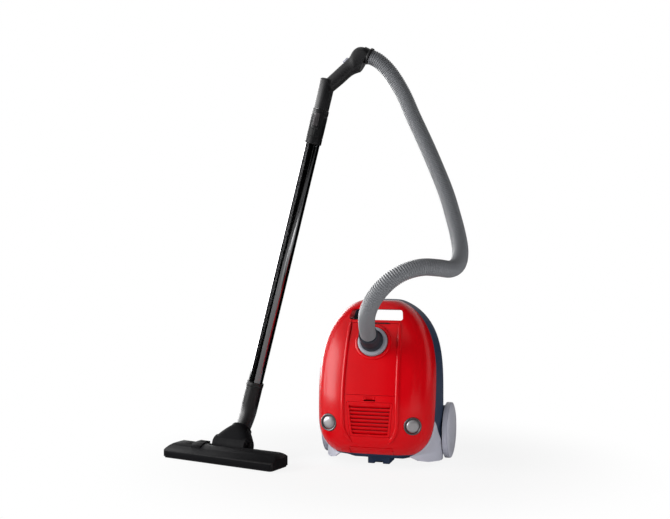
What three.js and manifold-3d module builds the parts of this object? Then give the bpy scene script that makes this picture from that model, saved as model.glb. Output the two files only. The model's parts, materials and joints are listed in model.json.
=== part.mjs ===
// Canister vacuum cleaner, parked upright on its tail with the wand leaning beside it.
// Millimetres, +Z up. The red cover faces -Y, the chassis with its castor faces +Y.
// Origin: centre of the flat underside of the standing foot.
import * as THREE from 'three';
import { mergeVertices } from 'three/addons/utils/BufferGeometryUtils.js';
import Module from 'manifold-3d';

const wasm = await Module();
wasm.setup();

// ---------- Driving dimensions ----------
const GAP = 0.3; // clearance between pieces that seat on each other
const WALL = 3; // moulded wall of the canister

// Canister body: one swelling form, widest at WIDEST_Z
const BODY_BOTTOM = 14;
const BODY_TOP = 380;
const WIDEST_Z = 139;
const HALF_WIDTH = 138;
const FRONT_DEPTH = 122;
const BACK_DEPTH = 129;
const FACE_LEAN = 1.15; // how early the cover leans back above the widest level
const FACE_EASE = 0.15; // softens the start of that lean
const FRONT_SQUARE = 3.6; // how square the section is, 2 = ellipse
const BACK_SQUARE = 4.1;

// Seam between the red cover and the chassis: a plane that leans back towards the nose
const SEAM_FOOT_Y = -72;
const SEAM_TOP_Y = -5;

// Carrying handle slot at the nose
const SLOT_LOW = 339;
const SLOT_HIGH = 364;
const SLOT_HALF_LOW = 64;
const SLOT_HALF_HIGH = 59;
const SLOT_LEAN = THREE.MathUtils.degToRad(5); // the slot's floor falls to the back
const SLOT_FACE_Y = -75;

// Centre panel on the cover: dust cover above, exhaust grille below
const PANEL_TOP = 331;
const PANEL_WAIST_Z = 165;
const PANEL_HALF_TOP = 54;
const PANEL_HALF = 59;
const PANEL_CURL_Z = 110; // below here the sides curl in
const PANEL_CURL = 0.01;
const RIDGE_WIDTH = 7;
const RIDGE_RISE = 2.5;
const RIDGE_FOOT = 64;
const RECESS_HALF = 49;
const RECESS_HIGH = 50;
const RECESS_DEPTH = 1.2;
const LID_BOTTOM = 174;
const LATCH_HALF = 13;
const LATCH_LOW = 164;
const LATCH_HEIGHT = 6;
const LATCH_TRAVEL = 3;
const GRILLE_TOP = 158;
const GRILLE_BOTTOM = 80;
const GRILLE_HALF = 53;
const GRILLE_TAPER = 7;
const GRILLE_FRAME = 5;
const LOUVRES = 8;
const HINGE_BARREL = 3.2;
const PIN_RADIUS = 1.5;

// Hose inlet on the dust cover
const INLET_Z = 290;
const INLET_TILT = THREE.MathUtils.degToRad(22);
const COLLAR_RADIUS = 34;
const COLLAR_RISE = 11;
const INLET_BORE = 21;
const SEAL_WIDTH = 2.4;

// Push buttons
const BUTTON_X = 97;
const BUTTON_Z = 107;
const BUTTON_TURN = THREE.MathUtils.degToRad(13);
const BUTTON_RADIUS = 16;
const BEZEL_RADIUS = 20;

// Wheels and castor
const WHEEL_RADIUS = 66;
const WHEEL_WIDTH = 11;
const WHEEL_INNER_X = HALF_WIDTH + 7;
const WHEEL_AXLE = 6;
const AXLE_ROOT = HALF_WIDTH - 44; // where each stub axle starts inside the body
const SKIRT_X = HALF_WIDTH; // the side skirts flare out to this half width
const SKIRT_TOP = 109;
const SKIRT_BACK_Y = 50;
const SKIRT_LIFT = 1.6; // how far the skirts stand off the body
const CASTOR_Z = 292;
const CASTOR_RADIUS = 11.5;
const CASTOR_WIDTH = 14;
const CASTOR_TRAIL = 14;
const CASTOR_PIVOT = 6;
const CASTOR_PLATE = 14;
const CASTOR_PLATE_THICK = 5;
const RIB_X = 70;
const RIB_LOW = 134;
const RIB_HIGH = 236;

// Cord outlet in the back
const OUTLET_X = 60;
const OUTLET_Z = 150;
const OUTLET_RADIUS = 11;

// Standing foot and sole
const FOOT_HALF_WIDTH = 26;
const FOOT_HALF_DEPTH = 28;
const SOLE_HALF_WIDTH = 100;
const SOLE_HALF_DEPTH = 62;
const SOLE_Y = 20;
const SOLE_THICK = 5;

// Inside: motor, reel, bag
const BULKHEAD_Z = 164;
const BULKHEAD_THICK = 3;
const MOTOR_X = -54;
const MOTOR_Y = 24;
const MOTOR_BASE = 66;
const HOUSING_RADIUS = 52;
const MOTOR_RADIUS = 40;
const MOTOR_HEIGHT = 46;
const SHAFT_RADIUS = 4;
const FAN_RADIUS = 44;
const FAN_HEIGHT = 18;
const FAN_BLADES = 7;
const INTAKE_RADIUS = 30;
const DUCT_HALF = 46;
const FILTER_THICK = 12;
const MOTOR_FILTER_THICK = 8;
const FILTER_HALF = 38;
const REEL_X = 58;
const REEL_Y = 30;
const REEL_Z = 96;
const REEL_RADIUS = 54;
const REEL_WIDTH = 46;
const REEL_HUB = 26;
const REEL_AXLE = 5;
const BAG_HALF_WIDTH = 84;
const BAG_HOLDER_Y = -58;
const BAG_HOLDER_THICK = 4;
const BAG_BACK = 82;
const BAG_LOW = 180;
const BAG_HIGH = 300;
const BAG_HOLDER_LOW = 238;
const BAG_HOLDER_HIGH = 318;

// Hose
const HOSE_RADIUS = 18;
const HOSE_STEPS = 40;
const HOSE_SIDES = 10;
// Route from the handle down, over and back to the inlet
const HOSE_ROUTE = [
  [-25, -5, 946], [-8, -4, 937], [18, 1, 911], [48, 4, 863], [76, 2, 802], [105, -7, 743],
  [133, -24, 685], [159, -44, 628], [177, -64, 580], [193, -90, 535], [204, -124, 499], [207, -172, 473],
  [200, -230, 463], [182, -275, 467], [155, -304, 469], [125, -323, 461], [98, -332, 445], [75, -331, 424],
  [56, -321, 401], [42, -302, 379], [31, -272, 361], [22, -236, 346], [14, -200, 331], [8, -166, 316],
].map(([x, y, z]) => new THREE.Vector3(x, y, z));

// Wand: its own frame runs up the tube axis from the neck's elbow point
const NECK_AT = new THREE.Vector3(-326, -32, 84);
const WAND_TURN = THREE.MathUtils.degToRad(5.1);
const WAND_LEAN = THREE.MathUtils.degToRad(13.9);
const TUBE_RADIUS = 17.5;
const TUBE_WALL = 1.2;
const TUBE_LOW = 98;
const TUBE_HIGH = 684;
const TUBE_SEAT = 30;
const INNER_LOW = 290;
const COLLAR_TOP = 764;
const LOCK_COLLAR_RADIUS = 20;
const LOCK_BUTTON_LENGTH = 30;
const SLEEVE_TOP = 838;
const SLEEVE_RADIUS = 18.7;
const CUFF_LENGTH = 14;
const CUFF_RADIUS = 16;
const LOCK_TRAVEL = 2.5;

// Grip: each station is the bar's top and its underside in the wand's own X and Z
const GRIP_STATIONS = [
  [-3.8, 838, 18.8, 813], [13.2, 862.3, 37.5, 837.3], [26, 881, 50, 855], [36, 895, 57, 862],
  [43, 915, 68, 869], [50, 923.5, 73, 871.5], [58, 927, 79, 873], [68, 927.5, 84, 874.5], [84, 920, 92, 878],
];
const GRIP_HALF = 16;
const GRIP_HOOD = 3; // the hood is this much wider on each side
const SLIDER_AT = new THREE.Vector3(31.5, 0, 888);
const SLIDER_WAY = new THREE.Vector3(0.573, 0, 0.819).normalize();
const TRACK_DEPTH = 3;

// Floor nozzle
const NOZZLE_AT = new THREE.Vector3(-350.1, -110.4, 0);
const NOZZLE_TURN = THREE.MathUtils.degToRad(-15);
const NOZZLE_LENGTH = 312;
const NOZZLE_DEPTH = 76;
const NOZZLE_FRONT_HEIGHT = 19;
const NOZZLE_BACK_HEIGHT = 37;
const NOZZLE_WALL = 3;
const SOLE_CLEAR = 2;
const YOKE_PIVOT_HEIGHT = 35;
const YOKE_PIVOT_BACK = 32;
const YOKE_DRUM = 22;
const YOKE_HALF = 46;
const YOKE_PIN = 5;
const YOKE_COLLAR = 25;
const NECK_RADIUS = 19;
const BRUSH_DEPTH = 6;
const BRUSH_HEIGHT = 8;
const BRUSH_TRAVEL = 5;
const MOUTH_HALF = 138;
const ROLLER_RADIUS = 8;
const ROLLER_X = 104;
const ROLLER_Y = NOZZLE_DEPTH / 2 - 15;
const BRUSH_ROWS = [[-26, 120], [24, 88]]; // place and half length of each row
const PEDAL_LEFT = -90;
const PEDAL_RIGHT = -62;
const PEDAL_FRONT = -14;
const PEDAL_BACK = 27;
const PEDAL_PIVOT_Z = 25;

// ---------- Finishes ----------
const finish = (color, roughness, metalness = 0) =>
  new THREE.MeshStandardMaterial({ color, roughness, metalness });
const RED = finish(0xc8060f, 0.15);
const CHASSIS_BLUE = finish(0x3f4c66, 0.4);
const PALE_GREY = finish(0xaeb1bb, 0.35);
const BUTTON_GREY = finish(0x9b9ba0, 0.3, 0.6);
const BLACK = finish(0x1b1b1d, 0.45);
const RUBBER = finish(0x141414, 0.8);
const HOSE_GREY = finish(0x8a8d92, 0.5);
const CHROME = finish(0xd9dadc, 0.08, 1);
const STEEL = finish(0xa0a2a6, 0.3, 1);
const FOAM = finish(0x3a3d42, 0.95);
const PAPER = finish(0xc9b48f, 0.9);
const WHITE_PLASTIC = finish(0xd8d8d4, 0.5);

// ---------- Making solids ----------
function volumeOf(positions, triangles) {
  const [a, b, c] = [new THREE.Vector3(), new THREE.Vector3(), new THREE.Vector3()];
  let sum = 0;
  for (let i = 0; i < triangles.length; i += 3) {
    a.fromArray(positions, triangles[i] * 3);
    b.fromArray(positions, triangles[i + 1] * 3);
    c.fromArray(positions, triangles[i + 2] * 3);
    sum += a.dot(b.cross(c));
  }
  return sum / 6;
}

// A closed three.js geometry as a solid, faces turned outwards
function solid(geometry, matrix = null) {
  const shape = geometry.clone();
  if (matrix) shape.applyMatrix4(matrix);
  for (const name of Object.keys(shape.attributes)) {
    if (name !== 'position') shape.deleteAttribute(name);
  }
  const merged = mergeVertices(shape, 1e-4);
  const positions = merged.attributes.position.array;
  const index = merged.index.array;
  const triangles = [];
  for (let i = 0; i < index.length; i += 3) {
    const [a, b, c] = [index[i], index[i + 1], index[i + 2]];
    if (a !== b && b !== c && c !== a) triangles.push(a, b, c);
  }
  if (volumeOf(positions, triangles) < 0) {
    for (let i = 0; i < triangles.length; i += 3) {
      [triangles[i + 1], triangles[i + 2]] = [triangles[i + 2], triangles[i + 1]];
    }
  }
  const mesh = new wasm.Mesh({
    numProp: 3,
    vertProperties: new Float32Array(positions),
    triVerts: new Uint32Array(triangles),
  });
  return new wasm.Manifold(mesh);
}

const join = (...parts) => parts.reduce((sum, part) => sum.add(part));
const cut = (base, ...tools) => tools.reduce((rest, tool) => rest.subtract(tool), base);

function geometryOf(manifold) {
  const mesh = manifold.getMesh();
  const geometry = new THREE.BufferGeometry();
  geometry.setAttribute('position', new THREE.BufferAttribute(mesh.vertProperties, 3));
  geometry.setIndex(new THREE.BufferAttribute(mesh.triVerts, 1));
  const faceted = geometry.toNonIndexed();
  faceted.computeVertexNormals();
  return faceted;
}

const shift = (x, y, z) => new THREE.Matrix4().makeTranslation(x, y, z);
const AXIS_Z = new THREE.Vector3(0, 0, 1);

// Places local +Z along a direction at a point
function facing(point, direction) {
  const turn = new THREE.Quaternion().setFromUnitVectors(AXIS_Z, direction.clone().normalize());
  return new THREE.Matrix4().compose(point, turn, new THREE.Vector3(1, 1, 1));
}

function box(x0, x1, y0, y1, z0, z1, matrix = null) {
  const block = new THREE.BoxGeometry(x1 - x0, y1 - y0, z1 - z0);
  block.translate((x0 + x1) / 2, (y0 + y1) / 2, (z0 + z1) / 2);
  return solid(block, matrix);
}

// Turns a closed [radius, height] profile round the local Z axis
function revolve(profile, matrix = null, segments = 24) {
  const points = profile.map(([r, h]) => new THREE.Vector2(r, h));
  if (profile[0][0] > 0) points.push(points[0].clone());
  const lathe = new THREE.LatheGeometry(points, segments);
  lathe.rotateX(Math.PI / 2);
  return solid(lathe, matrix);
}

const disc = (radius, low, high, matrix = null, segments = 24) =>
  revolve([[0, low], [radius, low], [radius, high], [0, high]], matrix, segments);
const ring = (outer, inner, low, high, matrix = null, segments = 24) =>
  revolve([[inner, low], [outer, low], [outer, high], [inner, high]], matrix, segments);

// Local frames: +Z of a turned piece along X, or along Y
const ALONG_X = new THREE.Matrix4().makeRotationY(Math.PI / 2);
const ALONG_Y = new THREE.Matrix4().makeRotationX(-Math.PI / 2);
const alongX = (x, y, z) => shift(x, y, z).multiply(ALONG_X);
const alongY = (x, y, z) => shift(x, y, z).multiply(ALONG_Y);

// An outline in X and Z pushed through Y
function throughY(shape, y0, y1, matrix = null) {
  const block = new THREE.ExtrudeGeometry(shape, { depth: y1 - y0, bevelEnabled: false, curveSegments: 3 });
  block.rotateX(Math.PI / 2);
  block.translate(0, y1, 0);
  return solid(block, matrix);
}

// Skin over a stack of rings with the same number of points
function loft(rings) {
  const count = rings[0].length;
  const positions = [];
  const index = [];
  for (const points of rings) for (const p of points) positions.push(p.x, p.y, p.z);
  for (let i = 0; i + 1 < rings.length; i += 1) {
    for (let j = 0; j < count; j += 1) {
      const a = i * count + j;
      const b = i * count + ((j + 1) % count);
      index.push(a, b, b + count, a, b + count, a + count);
    }
  }
  for (const [row, turn] of [[0, -1], [rings.length - 1, 1]]) {
    const middle = new THREE.Vector3();
    for (const p of rings[row]) middle.add(p);
    middle.divideScalar(count);
    const hub = positions.length / 3;
    positions.push(middle.x, middle.y, middle.z);
    for (let j = 0; j < count; j += 1) {
      const a = row * count + j;
      const b = row * count + ((j + 1) % count);
      if (turn > 0) index.push(a, b, hub);
      else index.push(b, a, hub);
    }
  }
  const geometry = new THREE.BufferGeometry();
  geometry.setAttribute('position', new THREE.Float32BufferAttribute(positions, 3));
  geometry.setIndex(index);
  return geometry;
}

// A round pipe of changing radius along a curve
function pipe(points, radii, steps, sides = 16) {
  const curve = new THREE.CatmullRomCurve3(points);
  const sizes = new THREE.CatmullRomCurve3(radii.map((r) => new THREE.Vector3(r, 0, 0)));
  const frames = curve.computeFrenetFrames(steps, false);
  const rings = [];
  for (let i = 0; i <= steps; i += 1) {
    const centre = curve.getPointAt(i / steps);
    const radius = sizes.getPoint(curve.getUtoTmapping(i / steps)).x;
    const around = [];
    for (let j = 0; j < sides; j += 1) {
      const angle = (j / sides) * Math.PI * 2;
      around.push(
        centre.clone()
          .addScaledVector(frames.normals[i], Math.cos(angle) * radius)
          .addScaledVector(frames.binormals[i], Math.sin(angle) * radius),
      );
    }
    rings.push(around);
  }
  return loft(rings);
}

// ---------- The canister's swelling form ----------
const riseOf = (z) => (z < WIDEST_Z
  ? (WIDEST_Z - z) / (WIDEST_Z - BODY_BOTTOM + 8)
  : (z - WIDEST_Z) / (BODY_TOP - WIDEST_Z + 8));
const swell = (z, power) => Math.sqrt(Math.max(0, 1 - riseOf(z) ** power));
const sideSwell = (z) => swell(z, 3.4);
const backSwell = (z) => swell(z, z < WIDEST_Z ? 5 : 3.8);

// The cover's depth: it leans back steadily from the widest level to the nose
function frontSwell(z) {
  if (z < WIDEST_Z) return swell(z, 3.4);
  const eased = (Math.hypot(riseOf(z), FACE_EASE) - FACE_EASE) / (Math.hypot(1, FACE_EASE) - FACE_EASE);
  return Math.sqrt(Math.max(0, 1 - eased ** FACE_LEAN));
}

function bodyRing(z, grow, level) {
  const points = [];
  const turns = 28;
  for (let i = 0; i < turns; i += 1) {
    const angle = (i / turns) * Math.PI * 2;
    const [c, s] = [Math.cos(angle), Math.sin(angle)];
    const power = 2 / (s < 0 ? FRONT_SQUARE : BACK_SQUARE);
    const width = HALF_WIDTH * sideSwell(z) + grow;
    const depth = s < 0 ? FRONT_DEPTH * frontSwell(z) + grow : BACK_DEPTH * backSwell(z) + grow;
    points.push(new THREE.Vector3(
      Math.sign(c) * width * Math.abs(c) ** power,
      Math.sign(s) * depth * Math.abs(s) ** power,
      level,
    ));
  }
  return points;
}

// The whole form, grown or shrunk by a wall
function bodyForm(grow) {
  const rings = [];
  const levels = 11;
  const middle = (BODY_TOP + BODY_BOTTOM) / 2;
  const reach = (BODY_TOP - BODY_BOTTOM) / 2;
  for (let i = 0; i <= levels; i += 1) {
    const z = middle - reach * Math.cos((i / levels) * Math.PI);
    rings.push(bodyRing(z, grow, middle + (z - middle) * (1 + grow / reach)));
  }
  return solid(loft(rings));
}

// Where the cover's skin lies at a place on the face
function faceY(x, z) {
  const across = Math.abs(x) / (HALF_WIDTH * sideSwell(z));
  return -FRONT_DEPTH * frontSwell(z) * (1 - across ** FRONT_SQUARE) ** (1 / FRONT_SQUARE);
}

function slotShape(grow) {
  const shape = new THREE.Shape();
  const corner = 8 + grow;
  shape.moveTo(-SLOT_HALF_LOW - grow + corner, SLOT_LOW - grow);
  shape.lineTo(SLOT_HALF_LOW + grow - corner, SLOT_LOW - grow);
  shape.quadraticCurveTo(SLOT_HALF_LOW + grow, SLOT_LOW - grow, SLOT_HALF_LOW + grow - 2, SLOT_LOW + corner);
  shape.lineTo(SLOT_HALF_HIGH + grow, SLOT_HIGH + grow - corner);
  shape.quadraticCurveTo(SLOT_HALF_HIGH + grow - 2, SLOT_HIGH + grow, SLOT_HALF_HIGH - corner, SLOT_HIGH + grow);
  shape.lineTo(-SLOT_HALF_HIGH + corner, SLOT_HIGH + grow);
  shape.quadraticCurveTo(-SLOT_HALF_HIGH - grow + 2, SLOT_HIGH + grow, -SLOT_HALF_HIGH - grow,
    SLOT_HIGH + grow - corner);
  shape.lineTo(-SLOT_HALF_LOW - grow + 2, SLOT_LOW + corner);
  shape.quadraticCurveTo(-SLOT_HALF_LOW - grow, SLOT_LOW - grow, -SLOT_HALF_LOW - grow + corner, SLOT_LOW - grow);
  return shape;
}

// Outline of the centre panel: bowed sides that curl in at the foot
function panelShape(grow, low, high) {
  const side = (z) => {
    const rise = Math.max(0, (z - PANEL_WAIST_Z) / (PANEL_TOP - PANEL_WAIST_Z));
    const curl = Math.max(0, PANEL_CURL_Z - z);
    return PANEL_HALF + grow - (PANEL_HALF - PANEL_HALF_TOP) * rise ** 2 - PANEL_CURL * curl ** 2;
  };
  const stations = 12;
  const right = [];
  for (let i = 0; i <= stations; i += 1) {
    const z = low + (high - low) * (i / stations) ** 1.5;
    right.push(new THREE.Vector2(side(z), z));
  }
  const left = right.map((p) => new THREE.Vector2(-p.x, p.y)).reverse();
  return new THREE.Shape([...right, ...left]);
}

const FAR = 400; // reach of a cutting block past the body
const NEAR_FACE = -40; // cutting blocks for the face stop here

// ---------- Sub-parts, canister ----------
// Castor on the flattest of the back, and wheels that roll on the same plane as the castor
const CASTOR_FACE_Y = BACK_DEPTH * backSwell(CASTOR_Z - CASTOR_PLATE) + 0.8;
const CASTOR_AXLE_Y = CASTOR_FACE_Y + CASTOR_PLATE_THICK + CASTOR_RADIUS + 0.6;
const CASTOR_AXLE_Z = CASTOR_Z - CASTOR_TRAIL;
const WHEEL_Y = CASTOR_AXLE_Y + CASTOR_RADIUS - WHEEL_RADIUS;

const outerForm = bodyForm(0);
const innerForm = bodyForm(-WALL);
const clearForm = bodyForm(-WALL - GAP);

// The slot leans about its middle on the face
const slotMiddle = (SLOT_LOW + SLOT_HIGH) / 2;
const slotFrame = shift(0, SLOT_FACE_Y, slotMiddle)
  .multiply(new THREE.Matrix4().makeRotationX(-SLOT_LEAN))
  .multiply(shift(0, -SLOT_FACE_Y, -slotMiddle));

// The seam plane: local +Y is the chassis side
const SEAM_TILT = Math.atan2(SEAM_TOP_Y - SEAM_FOOT_Y, BODY_TOP - BODY_BOTTOM);
const seamFrame = shift(0, SEAM_FOOT_Y, BODY_BOTTOM).multiply(new THREE.Matrix4().makeRotationX(-SEAM_TILT));
const seamY = (z) => SEAM_FOOT_Y + (z - BODY_BOTTOM) * Math.tan(SEAM_TILT);

function shellWithSlot() {
  const walls = throughY(slotShape(WALL), -FAR, FAR, slotFrame).intersect(outerForm);
  return cut(outerForm, innerForm).add(walls).subtract(throughY(slotShape(0), -FAR, FAR, slotFrame));
}
const shell = shellWithSlot();

const HINGE_Y = faceY(0, PANEL_TOP) - 1;
const HINGE_Z = PANEL_TOP + GAP;
const knuckle = (x0, x1, grow, y, z) => disc(HINGE_BARREL + grow, x0, x1, alongX(0, y, z), 16);
const LID_KNUCKLES = [[-21.5, -8.5], [8.5, 21.5]];
const COVER_KNUCKLES = [[-35, -22], [-8, 8], [22, 35]];

// A flat web that ties a hinge barrel to the wall behind it
const web = (x0, x1, y, z0, z1) => box(x0, x1, y - 1, y + 6.5, z0, z1);

// Each key faces a little outwards, as the cover does there
function pushFrame(x) {
  return shift(x, faceY(BUTTON_X, BUTTON_Z), BUTTON_Z)
    .multiply(new THREE.Matrix4().makeRotationZ(Math.sign(x) * BUTTON_TURN))
    .multiply(ALONG_Y);
}

function buildCover() {
  const frontHalf = box(-FAR, FAR, -FAR, -GAP / 2, -FAR, FAR, seamFrame);
  const ridge = throughY(panelShape(RIDGE_WIDTH, RIDGE_FOOT, PANEL_TOP + RIDGE_WIDTH), -FAR, NEAR_FACE)
    .subtract(throughY(panelShape(0, RIDGE_FOOT - 1, PANEL_TOP + RIDGE_WIDTH + 1), -FAR, NEAR_FACE + 1))
    .intersect(cut(bodyForm(RIDGE_RISE), bodyForm(-1)));
  let cover = shell.intersect(frontHalf).add(ridge);
  for (const [x0, x1] of COVER_KNUCKLES) {
    cover = join(cover, knuckle(x0, x1, 0, HINGE_Y, HINGE_Z), web(x0, x1, HINGE_Y, HINGE_Z, HINGE_Z + 6));
  }
  for (const side of [-1, 1]) {
    cover = cover.add(ring(BEZEL_RADIUS, BUTTON_RADIUS - 2, 1, 24, pushFrame(side * BUTTON_X)));
  }
  const lidWindow = throughY(panelShape(GAP, LID_BOTTOM - GAP, PANEL_TOP + GAP), -FAR, NEAR_FACE);
  const grilleWindow = throughY(grilleShape(GAP), -FAR, NEAR_FACE);
  cover = cut(cover, lidWindow.subtract(knuckleGuard()), grilleWindow, latchBlock(GAP, LATCH_TRAVEL));
  for (const [x0, x1] of LID_KNUCKLES) {
    cover = cover.subtract(knuckle(x0 - GAP, x1 + GAP, 0.7, HINGE_Y, HINGE_Z));
  }
  for (const side of [-1, 1]) {
    cover = cover.subtract(disc(BEZEL_RADIUS + GAP, -FAR, 1.5, pushFrame(side * BUTTON_X)));
    cover = cover.subtract(disc(BUTTON_RADIUS - 2 - GAP, -10, 30, pushFrame(side * BUTTON_X)));
  }
  const recess = box(-RECESS_HALF, RECESS_HALF, -FAR, NEAR_FACE, 0, RECESS_HIGH)
    .intersect(cut(bodyForm(2), bodyForm(-RECESS_DEPTH)));
  return cut(cover, recess, disc(PIN_RADIUS + GAP, -36, 36, alongX(0, HINGE_Y, HINGE_Z), 12));
}

// Keeps the cover's own barrels whole where the lid window passes them
function knuckleGuard() {
  const parts = COVER_KNUCKLES.map(([x0, x1]) => knuckle(x0, x1, 0, HINGE_Y, HINGE_Z));
  return join(...parts);
}

function grilleShape(grow) {
  const shape = new THREE.Shape();
  const [top, low] = [GRILLE_HALF + grow, GRILLE_HALF - GRILLE_TAPER + grow];
  shape.moveTo(-low, GRILLE_BOTTOM - grow);
  shape.lineTo(low, GRILLE_BOTTOM - grow);
  shape.lineTo(top, GRILLE_TOP + grow);
  shape.lineTo(-top, GRILLE_TOP + grow);
  return shape;
}

// Space taken by the catch, lengthened downwards by its travel where asked
const latchBlock = (grow, travel) => box(
  -LATCH_HALF - grow, LATCH_HALF + grow, -FAR, faceY(0, LATCH_LOW) + 16,
  LATCH_LOW - grow - travel, LATCH_LOW + LATCH_HEIGHT + grow,
);

function buildLatch() {
  const flush = latchBlock(0, 0).intersect(outerForm);
  const hook = box(-LATCH_HALF, LATCH_HALF, faceY(0, LATCH_LOW) + 12, faceY(0, LATCH_LOW) + 16,
    LATCH_LOW + 1, LID_BOTTOM + 3);
  return flush.add(hook);
}

function inletFrame() {
  const out = new THREE.Vector3(0, -Math.cos(INLET_TILT), Math.sin(INLET_TILT));
  return facing(new THREE.Vector3(0, faceY(0, INLET_Z), INLET_Z), out);
}
const INLET = inletFrame();

function buildLid() {
  const panel = throughY(panelShape(0, LID_BOTTOM, PANEL_TOP), -FAR, NEAR_FACE);
  let lid = cut(outerForm, innerForm).intersect(panel);
  lid = lid.add(revolve([[COLLAR_RADIUS + GAP, -6], [COLLAR_RADIUS + 8, -6], [COLLAR_RADIUS + 7, 2],
    [COLLAR_RADIUS + 4, 4], [COLLAR_RADIUS + GAP, 3]], INLET, 24).intersect(bodyForm(4).intersect(panel)));
  for (const [x0, x1] of LID_KNUCKLES) {
    lid = join(lid, knuckle(x0, x1, 0, HINGE_Y, HINGE_Z), web(x0, x1, HINGE_Y, HINGE_Z - 6, HINGE_Z));
  }
  const keeper = box(-LATCH_HALF, LATCH_HALF, faceY(0, LID_BOTTOM) + 1, faceY(0, LID_BOTTOM) + 17,
    LID_BOTTOM + 4, LID_BOTTOM + 7);
  lid = lid.add(keeper);
  for (const [x0, x1] of COVER_KNUCKLES) {
    lid = lid.subtract(knuckle(x0 - GAP, x1 + GAP, 0.7, HINGE_Y, HINGE_Z));
  }
  const bore = disc(COLLAR_RADIUS - 6 + GAP, -40, 40, INLET, 24);
  const seat = disc(COLLAR_RADIUS + GAP, -2, 40, INLET, 24);
  return cut(lid, bore, seat, disc(PIN_RADIUS + GAP, -36, 36, alongX(0, HINGE_Y, HINGE_Z), 12));
}

function buildCollar() {
  return revolve([[INLET_BORE, -14], [COLLAR_RADIUS - 6, -14], [COLLAR_RADIUS - 6, -2 + GAP],
    [COLLAR_RADIUS, -2 + GAP], [COLLAR_RADIUS, COLLAR_RISE - 4], [COLLAR_RADIUS - 2, COLLAR_RISE - 1],
    [COLLAR_RADIUS - 5, COLLAR_RISE], [INLET_BORE + 3, COLLAR_RISE], [INLET_BORE, COLLAR_RISE - 3]], INLET, 24);
}

const buildSeal = () => ring(COLLAR_RADIUS - 6, INLET_BORE - SEAL_WIDTH, -18, -14 - GAP, INLET, 24);

function buildGrille() {
  const skin = cut(outerForm, bodyForm(-WALL - 2));
  const frame = throughY(grilleShape(0), -FAR, NEAR_FACE)
    .subtract(throughY(grilleShape(-GRILLE_FRAME), -FAR, NEAR_FACE + 1));
  let grille = skin.intersect(frame);
  const span = GRILLE_TOP - GRILLE_BOTTOM - 2 * GRILLE_FRAME;
  const pitch = span / (LOUVRES + 0.5);
  const opening = throughY(grilleShape(-GRILLE_FRAME + 0.5), -FAR, NEAR_FACE);
  const slatZone = cut(bodyForm(-0.6), bodyForm(-WALL - 2)).intersect(opening);
  for (let i = 0; i < LOUVRES; i += 1) {
    const low = GRILLE_BOTTOM + GRILLE_FRAME + pitch * (i + 0.5);
    grille = grille.add(slatZone.intersect(box(-FAR, FAR, -FAR, FAR, low, low + pitch * 0.5)));
  }
  return grille;
}

function buildChassis() {
  const backHalf = box(-FAR, FAR, GAP / 2, FAR, -FAR, FAR, seamFrame);
  let chassis = shell.intersect(backHalf);
  const sole = new THREE.Shape();
  sole.absellipse(0, 0, SOLE_HALF_WIDTH, SOLE_HALF_DEPTH, 0, Math.PI * 2);
  const plate = new THREE.ExtrudeGeometry(sole, { depth: SOLE_THICK, bevelEnabled: false, curveSegments: 14 });
  chassis = chassis.add(cut(solid(plate, shift(0, SOLE_Y, BODY_BOTTOM - SOLE_THICK + 1)),
    skirtBlock(-1, GAP), skirtBlock(1, GAP)));
  chassis = chassis.add(box(-FOOT_HALF_WIDTH, FOOT_HALF_WIDTH, -FOOT_HALF_DEPTH, FOOT_HALF_DEPTH, 0, BODY_BOTTOM));
  const cheeks = [-1, 1].map((side) => {
    const x = REEL_X + side * (REEL_WIDTH / 2 + GAP + 1.5);
    return box(x - 1.5, x + 1.5, REEL_Y - 14, FAR, REEL_Z - 20, REEL_Z + 20);
  });
  const bosses = [-1, 1].map((side) => {
    const frame = alongX(side * (HALF_WIDTH - 26), WHEEL_Y, WHEEL_RADIUS);
    return disc(WHEEL_AXLE + 5, -24, 24, frame, 20);
  });
  const castorBoss = disc(CASTOR_PLATE, 0, 40, alongY(0, BACK_DEPTH * backSwell(CASTOR_Z) - 34, CASTOR_Z), 24);
  chassis = chassis.add(join(...cheeks, ...bosses, castorBoss).intersect(bodyForm(-1)));
  chassis = chassis.add(disc(CASTOR_PLATE, 0, 8, alongY(0, CASTOR_FACE_Y - 8, CASTOR_Z), 24));
  const ribs = [-1, 1].map((side) => {
    const x = side * RIB_X;
    return box(x - 4, x + 4, BACK_DEPTH * 0.5, BACK_DEPTH + 2, RIB_LOW, RIB_HIGH).subtract(bodyForm(-1));
  });
  chassis = join(chassis, ...ribs);
  chassis = chassis.subtract(disc(REEL_AXLE + GAP, REEL_X - 40, REEL_X + 40, alongX(0, REEL_Y, REEL_Z), 16));
  for (const side of [-1, 1]) {
    const frame = alongX(0, WHEEL_Y, WHEEL_RADIUS);
    const [near, far] = side < 0 ? [-FAR, -AXLE_ROOT] : [AXLE_ROOT, FAR];
    chassis = chassis.subtract(disc(WHEEL_AXLE + GAP, near, far, frame, 20));
  }
  const outlet = alongY(OUTLET_X, 0, OUTLET_Z);
  return cut(chassis,
    disc(CASTOR_PIVOT + GAP, 0, FAR, alongY(0, BACK_DEPTH * backSwell(CASTOR_Z) - 28, CASTOR_Z), 20),
    disc(OUTLET_RADIUS + GAP, 60, FAR, outlet, 16),
    disc(OUTLET_RADIUS + 3 + GAP, backY(OUTLET_X, OUTLET_Z) + GAP, FAR, outlet, 16),
    box(-10, 10, -FAR, -14, -1, 6));
}

// Half width of the body at a depth and a level
function bodyX(y, z) {
  const [depth, square] = y < 0
    ? [FRONT_DEPTH * frontSwell(z), FRONT_SQUARE]
    : [BACK_DEPTH * backSwell(z), BACK_SQUARE];
  return HALF_WIDTH * sideSwell(z) * Math.max(0, 1 - (Math.abs(y) / depth) ** square) ** (1 / square);
}

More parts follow.
